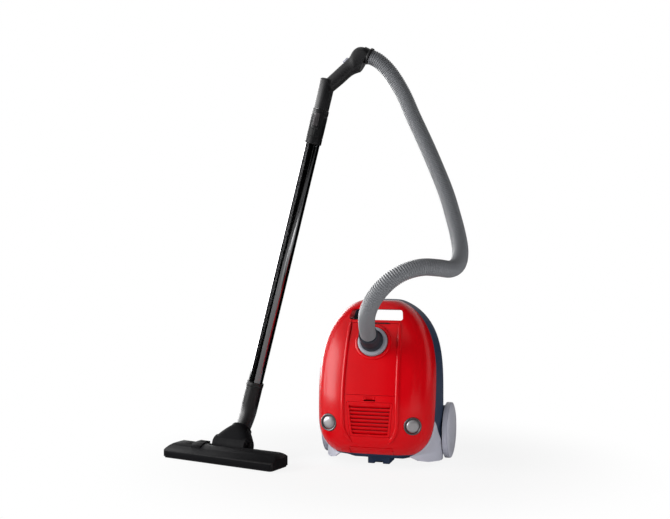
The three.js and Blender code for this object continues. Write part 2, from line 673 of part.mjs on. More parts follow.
// Side outline of a skirt: along the seam up to a point, then down in front of the wheel
function skirtOutline(backwards, lower, openFoot) {
  const front = (z) => seamY(z) + 1;
  const foot = openFoot ? [[SKIRT_BACK_Y, -20], [front(28), -20]]
    : [[SKIRT_BACK_Y, 4], [35, 4], [-20, 9], [-50, 17]];
  const edge = [[front(28), 28], [front(SKIRT_TOP), SKIRT_TOP], [-28, 91], [0, 72], [26, 53], [42, 41],
    [SKIRT_BACK_Y, 32], ...foot];
  return new THREE.Shape(edge.map(([y, z]) => new THREE.Vector2(y + backwards, z + lower)));
}

// The flare: the body's own plan at the seam, opening to the full width beside the wheel
function skirtFlare(side, grow) {
  const rings = [];
  for (const z of [-30, 30, 50, 70, 90, 115]) {
    const around = [new THREE.Vector3(side * 20, SKIRT_BACK_Y + 5, z), new THREE.Vector3(side * 20, -80, z)];
    for (let i = 0; i <= 9; i += 1) {
      const y = -80 + ((SKIRT_BACK_Y + 85) * i) / 9;
      const t = Math.min(1, Math.max(0, (y - SEAM_FOOT_Y) / (SKIRT_BACK_Y - 15 - SEAM_FOOT_Y)));
      const near = bodyX(y, Math.max(z, 30)) + SKIRT_LIFT;
      around.push(new THREE.Vector3(side * (near + (SKIRT_X - near) * t * t * (3 - 2 * t) + grow), y, z));
    }
    rings.push(around);
  }
  return solid(loft(rings));
}

function throughX(shape, x0, x1) {
  const block = new THREE.ExtrudeGeometry(shape, { depth: x1 - x0, bevelEnabled: false, curveSegments: 3 });
  const toSide = new THREE.Matrix4().makeBasis(new THREE.Vector3(0, 1, 0), AXIS_Z, new THREE.Vector3(1, 0, 0));
  return solid(block, shift(x0, 0, 0).multiply(toSide));
}

const skirtBlock = (side, grow) => skirtFlare(side, grow)
  .intersect(throughX(skirtOutline(grow, grow, false), -FAR, FAR));

// Side skirt beside each wheel: a thin flared moulding, open at its foot
function buildArch(side) {
  const hollow = skirtFlare(side, -WALL).intersect(throughX(skirtOutline(-WALL, -WALL, true), -FAR, FAR));
  return cut(skirtBlock(side, 0), hollow, bodyForm(GAP));
}

const wheelProfile = () => {
  const [r, w] = [WHEEL_RADIUS, WHEEL_WIDTH];
  return [[0, w - 3], [WHEEL_AXLE + GAP, w - 3], [WHEEL_AXLE + GAP, 1], [WHEEL_AXLE + 6, 1],
    [WHEEL_AXLE + 6, w - 4], [r - 8, w - 6.5], [r - 4, w - 9], [r - 4, 0], [r, 1],
    [r, w - 8], [r - 9, w - 2.6], [r * 0.5, w - 0.6], [0, w]];
};

function buildWheel(side) {
  const turned = side > 0 ? alongX(WHEEL_INNER_X, WHEEL_Y, WHEEL_RADIUS)
    : shift(-WHEEL_INNER_X, WHEEL_Y, WHEEL_RADIUS).multiply(new THREE.Matrix4().makeRotationY(-Math.PI / 2));
  return revolve(wheelProfile(), turned, 28);
}

function buildWheelAxle(side) {
  const [near, far] = [AXLE_ROOT + GAP, WHEEL_INNER_X + WHEEL_WIDTH - 3 - GAP];
  const span = side > 0 ? [near, far] : [-far, -near];
  return disc(WHEEL_AXLE, span[0], span[1], alongX(0, WHEEL_Y, WHEEL_RADIUS), 20);
}


function buildCastorFork() {
  const far = CASTOR_FACE_Y + CASTOR_PLATE_THICK;
  const plate = disc(CASTOR_PLATE, CASTOR_FACE_Y + GAP, far, alongY(0, 0, CASTOR_Z), 24);
  const pin = disc(CASTOR_PIVOT, CASTOR_FACE_Y - 18, CASTOR_FACE_Y + 2, alongY(0, 0, CASTOR_Z), 20);
  const half = CASTOR_WIDTH / 2 + 1;
  const cheeks = [-1, 1].map((side) => {
    const [x0, x1] = side < 0 ? [-half - 3, -half] : [half, half + 3];
    const round = disc(6, x0, x1, alongX(0, CASTOR_AXLE_Y, CASTOR_AXLE_Z), 20);
    return round.add(box(x0, x1, CASTOR_FACE_Y + 1.4, CASTOR_AXLE_Y, CASTOR_AXLE_Z - 6, CASTOR_Z + 4));
  });
  const hole = disc(2.5 + GAP, -FAR, FAR, alongX(0, CASTOR_AXLE_Y, CASTOR_AXLE_Z), 12);
  return join(plate, pin, ...cheeks).subtract(hole);
}

const buildCastorWheel = () => revolve([[2.5 + GAP, -CASTOR_WIDTH / 2], [CASTOR_RADIUS - 2, -CASTOR_WIDTH / 2],
  [CASTOR_RADIUS, -CASTOR_WIDTH / 2 + 2], [CASTOR_RADIUS, CASTOR_WIDTH / 2 - 2],
  [CASTOR_RADIUS - 2, CASTOR_WIDTH / 2], [2.5 + GAP, CASTOR_WIDTH / 2]],
alongX(0, CASTOR_AXLE_Y, CASTOR_AXLE_Z), 20);

const buildCastorAxle = () => disc(2.5, -CASTOR_WIDTH / 2 - 4, CASTOR_WIDTH / 2 + 4,
  alongX(0, CASTOR_AXLE_Y, CASTOR_AXLE_Z), 12);

function backY(x, z) {
  const across = Math.abs(x) / (HALF_WIDTH * sideSwell(z));
  return BACK_DEPTH * backSwell(z) * (1 - across ** BACK_SQUARE) ** (1 / BACK_SQUARE);
}

function buildOutlet() {
  const y = backY(OUTLET_X, OUTLET_Z);
  return revolve([[4, y - 12], [OUTLET_RADIUS, y - 12], [OUTLET_RADIUS, y + 0.5], [OUTLET_RADIUS + 3, y + 0.6],
    [OUTLET_RADIUS + 2, y + 3], [6, y + 4], [4, y + 2]], alongY(OUTLET_X, 0, OUTLET_Z), 16);
}

// Push button: a domed cap with a hollow stem that slides in the cover's sleeve
const buildButton = (x) => revolve([[0, -3], [8, -2.6], [BUTTON_RADIUS - 3.5, -1.2], [BUTTON_RADIUS - 2.6, 0],
  [BUTTON_RADIUS - 2.6, 20], [8, 20], [8, 3], [0, 3]], pushFrame(x), 20);

const buildBezel = (x) => revolve([[BUTTON_RADIUS - 2, 1.2], [BEZEL_RADIUS, 1.2], [BEZEL_RADIUS, -1.5],
  [BEZEL_RADIUS - 2, -3.2], [BUTTON_RADIUS - 1, -3.2], [BUTTON_RADIUS - 2, -2]], pushFrame(x), 20);

// ---------- Sub-parts inside the canister ----------
function buildHousing() {
  const frame = shift(MOTOR_X, MOTOR_Y, 0);
  const top = BULKHEAD_Z - GAP;
  const drum = ring(HOUSING_RADIUS, HOUSING_RADIUS - WALL, MOTOR_BASE, top, frame, 20);
  const floor = disc(HOUSING_RADIUS, MOTOR_BASE, MOTOR_BASE + WALL, frame, 20);
  const lid = ring(HOUSING_RADIUS, INTAKE_RADIUS, top - WALL, top, frame, 20);
  const [ductLow, ductHigh] = [GRILLE_BOTTOM + GRILLE_FRAME, GRILLE_TOP - GRILLE_FRAME];
  const front = DUCT_FRONT_Y;
  const duct = box(-DUCT_HALF, DUCT_HALF, front, -34, ductLow, ductHigh)
    .add(box(-DUCT_HALF, MOTOR_X + HOUSING_RADIUS - 6, front, MOTOR_Y, ductLow, ductHigh));
  const airway = box(-DUCT_HALF + WALL, DUCT_HALF - WALL, front - 5, -34 - WALL, ductLow + WALL, ductHigh - WALL)
    .add(box(-DUCT_HALF + WALL, MOTOR_X + HOUSING_RADIUS - 6 - WALL, front - 5, MOTOR_Y, ductLow + WALL,
      ductHigh - WALL));
  return cut(join(drum, floor, lid, duct), airway,
    disc(HOUSING_RADIUS - WALL, MOTOR_BASE + WALL, top - WALL, frame, 20));
}
const DUCT_FRONT_Y = faceY(GRILLE_HALF, GRILLE_BOTTOM) + WALL + 5 + FILTER_THICK;

const buildExhaustFilter = () => box(-DUCT_HALF + 1, DUCT_HALF - 1,
  DUCT_FRONT_Y - FILTER_THICK, DUCT_FRONT_Y - GAP,
  GRILLE_BOTTOM + GRILLE_FRAME + 1, GRILLE_TOP - GRILLE_FRAME - 1);

function buildMotor() {
  const low = MOTOR_BASE + WALL + GAP;
  const can = revolve([[SHAFT_RADIUS + GAP, low + 3], [12, low + 3], [12, low], [MOTOR_RADIUS, low],
    [MOTOR_RADIUS, low + MOTOR_HEIGHT - 8], [HOUSING_RADIUS - WALL - GAP, low + MOTOR_HEIGHT - 8],
    [HOUSING_RADIUS - WALL - GAP, low + MOTOR_HEIGHT], [16, low + MOTOR_HEIGHT], [16, low + MOTOR_HEIGHT + 4],
    [SHAFT_RADIUS + GAP, low + MOTOR_HEIGHT + 4]], shift(MOTOR_X, MOTOR_Y, 0), 20);
  return can;
}

const FAN_LOW = MOTOR_BASE + WALL + GAP + MOTOR_HEIGHT + 6;
function buildFan() {
  const frame = shift(MOTOR_X, MOTOR_Y, 0);
  const backPlate = disc(FAN_RADIUS, FAN_LOW, FAN_LOW + 2, frame, 20);
  const shroud = ring(FAN_RADIUS, FAN_RADIUS * 0.45, FAN_LOW + FAN_HEIGHT - 2, FAN_LOW + FAN_HEIGHT, frame, 20);
  const hub = disc(9, FAN_LOW, FAN_LOW + FAN_HEIGHT - 3, frame, 20);
  const shaft = disc(SHAFT_RADIUS, MOTOR_BASE + WALL + GAP + 4, FAN_LOW + 1, frame, 16);
  let fan = join(backPlate, shroud, hub, shaft);
  for (let i = 0; i < FAN_BLADES; i += 1) {
    const lean = new THREE.Matrix4().makeRotationZ(0.7);
    const around = new THREE.Matrix4().makeRotationZ((i / FAN_BLADES) * Math.PI * 2);
    const at = frame.clone().multiply(around).multiply(shift(FAN_RADIUS * 0.62, 0, 0)).multiply(lean);
    fan = fan.add(box(-13, 13, -0.8, 0.8, FAN_LOW + 1, FAN_LOW + FAN_HEIGHT - 1, at));
  }
  return fan;
}

function buildBulkhead() {
  const slab = box(-FAR, FAR, -FAR, FAR, BULKHEAD_Z, BULKHEAD_Z + BULKHEAD_THICK);
  const reach = LATCH_HALF + 4;
  const latchRoom = box(-reach, reach, -FAR, faceY(0, LATCH_LOW) + 24, -FAR, FAR);
  let plate = clearForm.intersect(slab).subtract(latchRoom);
  for (let i = -2; i <= 2; i += 1) {
    const y = MOTOR_Y + i * 11;
    const half = i % 2 === 0 ? 20 : 24;
    plate = plate.subtract(box(MOTOR_X - half, MOTOR_X + half, y - 3.5, y + 3.5, -FAR, FAR));
  }
  return plate;
}

const buildMotorFilter = () => box(MOTOR_X - FILTER_HALF, MOTOR_X + FILTER_HALF, MOTOR_Y - FILTER_HALF,
  MOTOR_Y + FILTER_HALF,
  BULKHEAD_Z + BULKHEAD_THICK + GAP, BULKHEAD_Z + BULKHEAD_THICK + GAP + MOTOR_FILTER_THICK);

function buildReel() {
  const half = REEL_WIDTH / 2;
  return revolve([[REEL_AXLE + GAP, -half], [REEL_RADIUS, -half], [REEL_RADIUS, -half + 2], [REEL_HUB, -half + 2],
    [REEL_HUB, half - 2], [REEL_RADIUS, half - 2], [REEL_RADIUS, half], [REEL_AXLE + GAP, half]],
  alongX(REEL_X, REEL_Y, REEL_Z), 24);
}

const buildReelAxle = () => disc(REEL_AXLE, -REEL_WIDTH / 2 - 5, REEL_WIDTH / 2 + 5,
  alongX(REEL_X, REEL_Y, REEL_Z), 16);

function buildSwitch() {
  const frame = pushFrame(-BUTTON_X);
  return box(-11, 11, -12, 12, 24 + GAP, 44, frame);
}

function buildBagHolder() {
  const slab = box(-FAR, FAR, BAG_HOLDER_Y, BAG_HOLDER_Y + BAG_HOLDER_THICK, BAG_HOLDER_LOW, BAG_HOLDER_HIGH);
  return clearForm.intersect(slab).subtract(disc(INLET_BORE + 2, -FAR, FAR, INLET, 24));
}

function buildBag() {
  const rings = [];
  const [low, high] = [BAG_HOLDER_Y + BAG_HOLDER_THICK + GAP, BAG_BACK];
  const count = 8;
  for (let i = 0; i <= count; i += 1) {
    const t = i / count;
    const fat = Math.sqrt(Math.max(0.12, 1 - (2 * t - 1) ** 4));
    const around = [];
    const sides = 20;
    const middle = (BAG_LOW + BAG_HIGH) / 2;
    for (let j = 0; j < sides; j += 1) {
      const angle = (j / sides) * Math.PI * 2;
      const [c, s] = [Math.cos(angle), Math.sin(angle)];
      const narrow = s > 0 ? 1 - 0.32 * s : 1;
      around.push(new THREE.Vector3(
        Math.sign(c) * Math.abs(c) ** 0.7 * BAG_HALF_WIDTH * narrow * fat,
        low + (high - low) * t,
        middle + Math.sign(s) * Math.abs(s) ** 0.7 * (BAG_HIGH - middle) * fat,
      ));
    }
    rings.push(around);
  }
  return solid(loft(rings));
}

// ---------- Hose with its two ends ----------
const hoseCurve = new THREE.CatmullRomCurve3(HOSE_ROUTE);
const HOSE_TOP = HOSE_ROUTE[0];
const HOSE_FOOT = HOSE_ROUTE[HOSE_ROUTE.length - 1];
const HOSE_TOP_OUT = hoseCurve.getTangentAt(0).negate();
const HOSE_FOOT_OUT = hoseCurve.getTangentAt(1);

function buildHose() {
  const section = new THREE.Shape();
  section.absarc(0, 0, HOSE_RADIUS, 0, Math.PI * 2);
  const tube = new THREE.ExtrudeGeometry(section, {
    steps: HOSE_STEPS, extrudePath: hoseCurve, bevelEnabled: false, curveSegments: HOSE_SIDES / 2,
  });
  return solid(tube);
}

// Swivel piece in the inlet: snap collar, then a short bend into the hose
function buildElbow() {
  const face = new THREE.Vector3().setFromMatrixPosition(INLET);
  const out = new THREE.Vector3().setFromMatrixColumn(INLET, 2);
  const end = HOSE_FOOT.clone().addScaledVector(HOSE_FOOT_OUT, GAP);
  const start = face.clone().addScaledVector(out, COLLAR_RISE + 2);
  const bend = pipe([start, start.clone().addScaledVector(out, 14), end.clone().addScaledVector(HOSE_FOOT_OUT, 12),
    end], [23, 22.5, 21, 20.5], 6, 16);
  const spigot = disc(INLET_BORE - SEAL_WIDTH - GAP, -20, COLLAR_RISE + 4, INLET, 24);
  const shoulder = disc(COLLAR_RADIUS - 8, COLLAR_RISE + GAP, COLLAR_RISE + 6, INLET, 24);
  const bore = disc(INLET_BORE - SEAL_WIDTH - GAP - 3, -21, COLLAR_RISE + 20, INLET, 24);
  return cut(join(solid(bend), spigot, shoulder), bore);
}

function buildCuff() {
  const frame = facing(HOSE_TOP, HOSE_TOP_OUT);
  return revolve([[0, GAP], [HOSE_RADIUS + 2, GAP], [HOSE_RADIUS + 2, 7], [CUFF_RADIUS, 7],
    [CUFF_RADIUS, 7 + CUFF_LENGTH], [0, 7 + CUFF_LENGTH]], frame, 20);
}

// ---------- Wand ----------
const INNER_RADIUS = TUBE_RADIUS - TUBE_WALL - GAP;
const WAND = new THREE.Matrix4().makeTranslation(NECK_AT.x, NECK_AT.y, NECK_AT.z)
  .multiply(new THREE.Matrix4().makeRotationZ(WAND_TURN))
  .multiply(new THREE.Matrix4().makeRotationY(WAND_LEAN));
const intoWand = (point) => point.clone().applyMatrix4(WAND.clone().invert());
const intoWandDirection = (way) => way.clone().transformDirection(WAND.clone().invert());

// Grip: a bar that leans out of the sleeve and swells into a hood over the hose swivel
function gripRings(inset) {
  return GRIP_STATIONS.map(([x0, z0, x1, z1]) => {
    const top = new THREE.Vector3(x0, 0, z0);
    const low = new THREE.Vector3(x1, 0, z1);
    const middle = top.clone().add(low).multiplyScalar(0.5);
    const half = top.clone().sub(low).multiplyScalar(0.5);
    const up = half.clone().normalize();
    const width = GRIP_HALF + (half.length() > 20 ? GRIP_HOOD : 0) - inset;
    const around = [];
    for (let i = 0; i < 18; i += 1) {
      const angle = (i / 18) * Math.PI * 2;
      const [c, s] = [Math.cos(angle), Math.sin(angle)];
      around.push(middle.clone()
        .addScaledVector(up, Math.sign(c) * Math.abs(c) ** 0.8 * (half.length() - inset))
        .add(new THREE.Vector3(0, Math.sign(s) * Math.abs(s) ** 0.8 * width, 0)));
    }
    return around;
  });
}

function buildHandle() {
  const end = intoWand(HOSE_TOP.clone().addScaledVector(HOSE_TOP_OUT, 7 + GAP));
  const back = intoWandDirection(HOSE_TOP_OUT);
  const sleeve = revolve([[0, COLLAR_TOP + 2 * GAP], [SLEEVE_RADIUS, COLLAR_TOP + 2 * GAP],
    [SLEEVE_RADIUS, SLEEVE_TOP - 5], [SLEEVE_RADIUS - 5, SLEEVE_TOP], [0, SLEEVE_TOP]], null, 24);
  const grip = solid(loft(gripRings(0)));
  const airway = solid(loft(gripRings(WALL).slice(0, 7)));
  const socket = disc(CUFF_RADIUS + GAP, -CUFF_LENGTH - 1, 2, facing(end, back.clone().negate()), 20);
  const mouth = disc(CUFF_RADIUS - WALL, -CUFF_LENGTH - 16, 0, facing(end, back.clone().negate()), 20);
  const bore = disc(INNER_RADIUS + GAP, 0, SLEEVE_TOP - 4, null, 24);
  const beyond = box(-60, 60, -60, 60, 0, 60, facing(end, back.clone().negate()));
  return cut(join(grip, sleeve), socket, mouth, bore, airway, beyond, sliderTrack());
}

// Suction slider in a shallow track on top of the bar, just before the hood
function sliderFrame() {
  const out = new THREE.Vector3(-SLIDER_WAY.z, 0, SLIDER_WAY.x);
  const side = new THREE.Vector3().crossVectors(out, SLIDER_WAY);
  return shift(SLIDER_AT.x, 0, SLIDER_AT.z).multiply(new THREE.Matrix4().makeBasis(SLIDER_WAY, side, out));
}
const buildSlider = () => join(box(-8, 8, -7, 7, GAP - TRACK_DEPTH, 1, sliderFrame()),
  box(-2.5, 2.5, -7, 7, 0, 3, sliderFrame()));
const sliderTrack = () => box(-18, 11, -7.4, 7.4, -TRACK_DEPTH, 60, sliderFrame());

const tube = (outer, low, high) => ring(outer, outer - TUBE_WALL, low, high, null, 24);

function buildLockCollar() {
  const top = COLLAR_TOP;
  const body = revolve([[TUBE_RADIUS + GAP, TUBE_HIGH - 2], [LOCK_COLLAR_RADIUS - 1, TUBE_HIGH - 2],
    [LOCK_COLLAR_RADIUS, TUBE_HIGH + 2], [LOCK_COLLAR_RADIUS, top - 2], [LOCK_COLLAR_RADIUS - 1, top],
    [INNER_RADIUS + GAP, top], [INNER_RADIUS + GAP, TUBE_HIGH + TUBE_SEAT + GAP],
    [TUBE_RADIUS + GAP, TUBE_HIGH + TUBE_SEAT + GAP]], null, 24);
  const pad = box(-9, 9, -LOCK_COLLAR_RADIUS - 3, 0, LOCK_MIDDLE - 22, LOCK_MIDDLE + 22)
    .subtract(disc(LOCK_COLLAR_RADIUS - 1, 0, FAR * 3, null, 24));
  const pocket = box(-6 - GAP, 6 + GAP, -FAR, -INNER_RADIUS - 0.6, LOCK_LOW - GAP,
    LOCK_LOW + LOCK_BUTTON_LENGTH + GAP);
  return body.add(pad).subtract(pocket);
}
const LOCK_MIDDLE = TUBE_HIGH + TUBE_SEAT + 25;
const LOCK_LOW = LOCK_MIDDLE - LOCK_BUTTON_LENGTH / 2;

const buildLockButton = () => box(-6, 6, -LOCK_COLLAR_RADIUS - 5, -INNER_RADIUS - 0.6 - LOCK_TRAVEL - GAP, LOCK_LOW,
  LOCK_LOW + LOCK_BUTTON_LENGTH);

// ---------- Floor nozzle ----------
const NOZZLE = new THREE.Matrix4().makeTranslation(NOZZLE_AT.x, NOZZLE_AT.y, NOZZLE_AT.z)
  .multiply(new THREE.Matrix4().makeRotationZ(NOZZLE_TURN));
const yokePivot = new THREE.Vector3(0, YOKE_PIVOT_BACK, YOKE_PIVOT_HEIGHT).applyMatrix4(NOZZLE);
const NECK_WAY = NECK_AT.clone().sub(yokePivot).normalize();
const NECK_REACH = NECK_AT.distanceTo(yokePivot);
const yokeFrame = facing(yokePivot, NECK_WAY);
const tubeWay = new THREE.Vector3().setFromMatrixColumn(WAND, 2);

// Bent neck: lower end turns in the yoke, upper end takes the chrome tube
function buildNeck() {
  const along = (d) => NECK_AT.clone().addScaledVector(tubeWay, d);
  const down = (d) => yokePivot.clone().addScaledVector(NECK_WAY, d);
  const points = [down(26), down(38), down(NECK_REACH - 16), along(20), along(TUBE_LOW / 2), along(TUBE_LOW)];
  const bend = solid(pipe(points, [NECK_RADIUS, NECK_RADIUS, NECK_RADIUS, 19.5, 20, 20], 10, 14));
  const lipRing = disc(20.6, TUBE_LOW - 8, TUBE_LOW, WAND, 20);
  const socket = disc(TUBE_RADIUS + GAP, TUBE_LOW - TUBE_SEAT, TUBE_LOW + 5, WAND, 24);
  const middle = [down(24), ...points.slice(1, 4), along(60), along(TUBE_LOW - 10)];
  const airway = pipe(middle, middle.map(() => NECK_RADIUS - 4), 9, 12);
  return cut(bend.add(lipRing), socket, solid(airway));
}

function buildYoke() {
  const sides = new THREE.Vector3(1, 0, 0).transformDirection(NOZZLE);
  const backWay = new THREE.Vector3().crossVectors(NECK_WAY, sides).normalize();
  const drumFrame = facing(yokePivot, sides);
  const drum = disc(YOKE_DRUM, -YOKE_HALF, YOKE_HALF, drumFrame, 20)
    .add(disc(YOKE_PIN, -YOKE_HALF - 5, YOKE_HALF + 5, drumFrame, 16));
  const stations = [[2, YOKE_HALF, YOKE_DRUM, 6], [14, YOKE_HALF - 1, YOKE_DRUM + 1, 4.5],
    [25, YOKE_HALF - 6, YOKE_COLLAR - 1, 3.4], [36, YOKE_COLLAR + 7, YOKE_COLLAR, 2.6],
    [43, YOKE_COLLAR + 1.5, YOKE_COLLAR, 2.1], [48, YOKE_COLLAR, YOKE_COLLAR, 2]];
  const rings = stations.map(([rise, half, depth, square]) => {
    const points = [];
    for (let i = 0; i < 20; i += 1) {
      const angle = (i / 20) * Math.PI * 2;
      const [c, s] = [Math.cos(angle), Math.sin(angle)];
      points.push(yokePivot.clone().addScaledVector(NECK_WAY, rise)
        .addScaledVector(sides, Math.sign(c) * half * Math.abs(c) ** (2 / square))
        .addScaledVector(backWay, Math.sign(s) * depth * Math.abs(s) ** (2 / square)));
    }
    return points;
  });
  const bore = disc(NECK_RADIUS + GAP, 26 - GAP, 60, yokeFrame, 20);
  return join(drum, solid(loft(rings))).subtract(bore);
}

// Side profile of the nozzle: thin front edge, high rounded back
function nozzleProfile(inset, low) {
  const half = NOZZLE_DEPTH / 2 - inset;
  const [front, back] = [NOZZLE_FRONT_HEIGHT - inset, NOZZLE_BACK_HEIGHT - inset];
  const shape = new THREE.Shape();
  shape.moveTo(-half, low);
  shape.lineTo(-half, front - 4);
  shape.quadraticCurveTo(-half, front, -half + 5, front + 1);
  shape.bezierCurveTo(-half + 26, front + 9, -8, back, 8, back);
  shape.lineTo(half - 22, back - 1);
  shape.quadraticCurveTo(half - 6, back - 2, half, low + 8);
  shape.lineTo(half, low);
  shape.lineTo(-half, low);
  return shape;
}

// Profile pushed along the nozzle's length
function alongNozzle(shape, half) {
  const block = new THREE.ExtrudeGeometry(shape, { depth: half * 2, bevelEnabled: false, curveSegments: 5 });
  const toSide = new THREE.Matrix4().makeBasis(new THREE.Vector3(0, 1, 0), new THREE.Vector3(0, 0, 1),
    new THREE.Vector3(1, 0, 0));
  block.applyMatrix4(toSide);
  block.translate(-half, 0, 0);
  return solid(block);
}

function nozzlePlan(inset, low, high) {
  const [a, b, chamfer] = [NOZZLE_LENGTH / 2 - inset, NOZZLE_DEPTH / 2 - inset, 7];
  const plan = new THREE.Shape();
  plan.moveTo(-a + chamfer, -b);
  plan.lineTo(a - chamfer, -b);
  plan.quadraticCurveTo(a - 2, -b, a, -b + chamfer);
  plan.lineTo(a, b - 2 * chamfer);
  plan.quadraticCurveTo(a, b, a - 2 * chamfer, b);
  plan.lineTo(-a + 2 * chamfer, b);
  plan.quadraticCurveTo(-a, b, -a, b - 2 * chamfer);
  plan.lineTo(-a, -b + chamfer);
  plan.quadraticCurveTo(-a + 2, -b, -a + chamfer, -b);
  const block = new THREE.ExtrudeGeometry(plan, { depth: high - low, bevelEnabled: false, curveSegments: 4 });
  return solid(block, shift(0, 0, low));
}

// Ends fall away, so the shell's top slopes down to both sides
function endSlope(inset) {
  const half = NOZZLE_LENGTH / 2 - inset;
  const shape = new THREE.Shape();
  shape.moveTo(-half, SOLE_CLEAR);
  shape.lineTo(half, SOLE_CLEAR);
  shape.lineTo(half, NOZZLE_FRONT_HEIGHT + 4 - inset);
  shape.quadraticCurveTo(half - 6, NOZZLE_BACK_HEIGHT - 2 - inset, half - 34, NOZZLE_BACK_HEIGHT + 1 - inset);
  shape.lineTo(-half + 34, NOZZLE_BACK_HEIGHT + 1 - inset);
  shape.quadraticCurveTo(-half + 6, NOZZLE_BACK_HEIGHT - 2 - inset, -half, NOZZLE_FRONT_HEIGHT + 4 - inset);
  return throughY(shape, -FAR, FAR);
}

const SHELL_LOW = SOLE_CLEAR + 3 + GAP;
const drumRoom = (grow) => disc(YOKE_DRUM + grow, -YOKE_HALF - GAP, YOKE_HALF + GAP,
  alongX(0, YOKE_PIVOT_BACK, YOKE_PIVOT_HEIGHT), 20);

function buildNozzleShell() {
  const half = NOZZLE_LENGTH / 2;
  const outer = alongNozzle(nozzleProfile(0, SHELL_LOW), half)
    .intersect(nozzlePlan(0, 0, 80)).intersect(endSlope(0));
  const hollow = alongNozzle(nozzleProfile(NOZZLE_WALL, SHELL_LOW - 2), half - NOZZLE_WALL)
    .intersect(nozzlePlan(NOZZLE_WALL, 0, 80)).intersect(endSlope(NOZZLE_WALL));
  const cradle = box(-YOKE_HALF - 8, YOKE_HALF + 8, YOKE_PIVOT_BACK - YOKE_DRUM - 6,
    YOKE_PIVOT_BACK + YOKE_DRUM + 4, SHELL_LOW, YOKE_PIVOT_HEIGHT + 4);
  const overYoke = box(-YOKE_HALF - 0.6, YOKE_HALF + 0.6, YOKE_PIVOT_BACK - YOKE_DRUM - 8, NOZZLE_DEPTH / 2 + 5,
    YOKE_PIVOT_HEIGHT - 2, 90);
  const behindYoke = box(-YOKE_HALF - 0.6, YOKE_HALF + 0.6, YOKE_PIVOT_BACK, NOZZLE_DEPTH / 2 + 5,
    YOKE_PIVOT_HEIGHT - YOKE_DRUM + 2, 90);
  const throat = box(-20, 20, YOKE_PIVOT_BACK - 14, YOKE_PIVOT_BACK + 12, 0, YOKE_PIVOT_HEIGHT)
    .add(box(-20, 20, -6, YOKE_PIVOT_BACK, 0, NOZZLE_FRONT_HEIGHT));
  const pivotHole = disc(YOKE_PIN + GAP, -YOKE_HALF - 6, YOKE_HALF + 6,
    alongX(0, YOKE_PIVOT_BACK, YOKE_PIVOT_HEIGHT));
  const cheekTops = [-1, 1].map((side) => disc(YOKE_PIN + 5, side * (YOKE_HALF + 4.5) - 3.5,
    side * (YOKE_HALF + 4.5) + 3.5, alongX(0, YOKE_PIVOT_BACK, YOKE_PIVOT_HEIGHT), 20));
  const pedalRibs = [PEDAL_LEFT - 4, PEDAL_RIGHT + 0.6].map((x) =>
    box(x, x + 3.4, PEDAL_FRONT - 2, PEDAL_FRONT + 8, PEDAL_PIVOT_Z - 5, PEDAL_PIVOT_Z + 5));
  const rollers = [-1, 1].map((side) =>
    box(side * ROLLER_X - 9, side * ROLLER_X + 9, ROLLER_Y - 11, ROLLER_Y + 9, 0, 20));
  const inside = join(...rollers, ...pedalRibs).intersect(alongNozzle(nozzleProfile(1, SHELL_LOW), half - 1));
  let shellBody = join(cut(outer, hollow), cradle.intersect(alongNozzle(nozzleProfile(0.5, SHELL_LOW), half)));
  shellBody = join(cut(shellBody, drumRoom(0.6), overYoke, behindYoke, throat), inside, ...cheekTops);
  return cut(shellBody, pivotHole, pedalRoom(), ...brushRooms(), rollerRoom(-1), rollerRoom(1));
}

// Rocker pedal beside the neck, hinged along its front edge
const pedalRoom = () => box(PEDAL_LEFT - 0.6, PEDAL_RIGHT + 0.6, PEDAL_FRONT - 0.8, PEDAL_BACK + 1.4, 12, 90)
  .add(disc(1.5 + GAP, PEDAL_LEFT - 3, PEDAL_RIGHT + 3, alongX(0, PEDAL_FRONT + 3, PEDAL_PIVOT_Z), 12));
const rollerRoom = (side) => box(side * ROLLER_X - 6, side * ROLLER_X + 6, ROLLER_Y - 9, ROLLER_Y + 9, -1, 18)
  .add(disc(1.5 + GAP, side * ROLLER_X - 8, side * ROLLER_X + 8, alongX(0, ROLLER_Y, ROLLER_RADIUS), 12));

function buildSoleplate() {
  const plate = nozzlePlan(2, SOLE_CLEAR, SOLE_CLEAR + 3);
  const mouth = box(-MOUTH_HALF, MOUTH_HALF, -9, 9, 0, 20);
  return cut(plate, mouth, ...brushRooms(), rollerRoom(-1), rollerRoom(1));
}

// Two rows of bristles, each a strip that rises through a slot in the sole
const brushBlock = ([y, half], grow, low, high) => box(-half - grow, half + grow,
  y - BRUSH_DEPTH / 2 - grow, y + BRUSH_DEPTH / 2 + grow, low, high);
const brushRooms = () => BRUSH_ROWS.map((row) => brushBlock(row, GAP, 0, BRUSH_HEIGHT + BRUSH_TRAVEL + GAP));
const buildBrush = (row) => brushBlock(row, 0, 0.2, BRUSH_HEIGHT);

const buildRoller = (side) => revolve([[0, -5], [ROLLER_RADIUS - 1, -5], [ROLLER_RADIUS, -4], [ROLLER_RADIUS, 4],
  [ROLLER_RADIUS - 1, 5], [1.5, 5], [1.5, 7.6], [0, 7.6]], alongX(side * ROLLER_X, ROLLER_Y, ROLLER_RADIUS), 14)
  .add(disc(1.5, -7.6, 0, alongX(side * ROLLER_X, ROLLER_Y, ROLLER_RADIUS), 12));

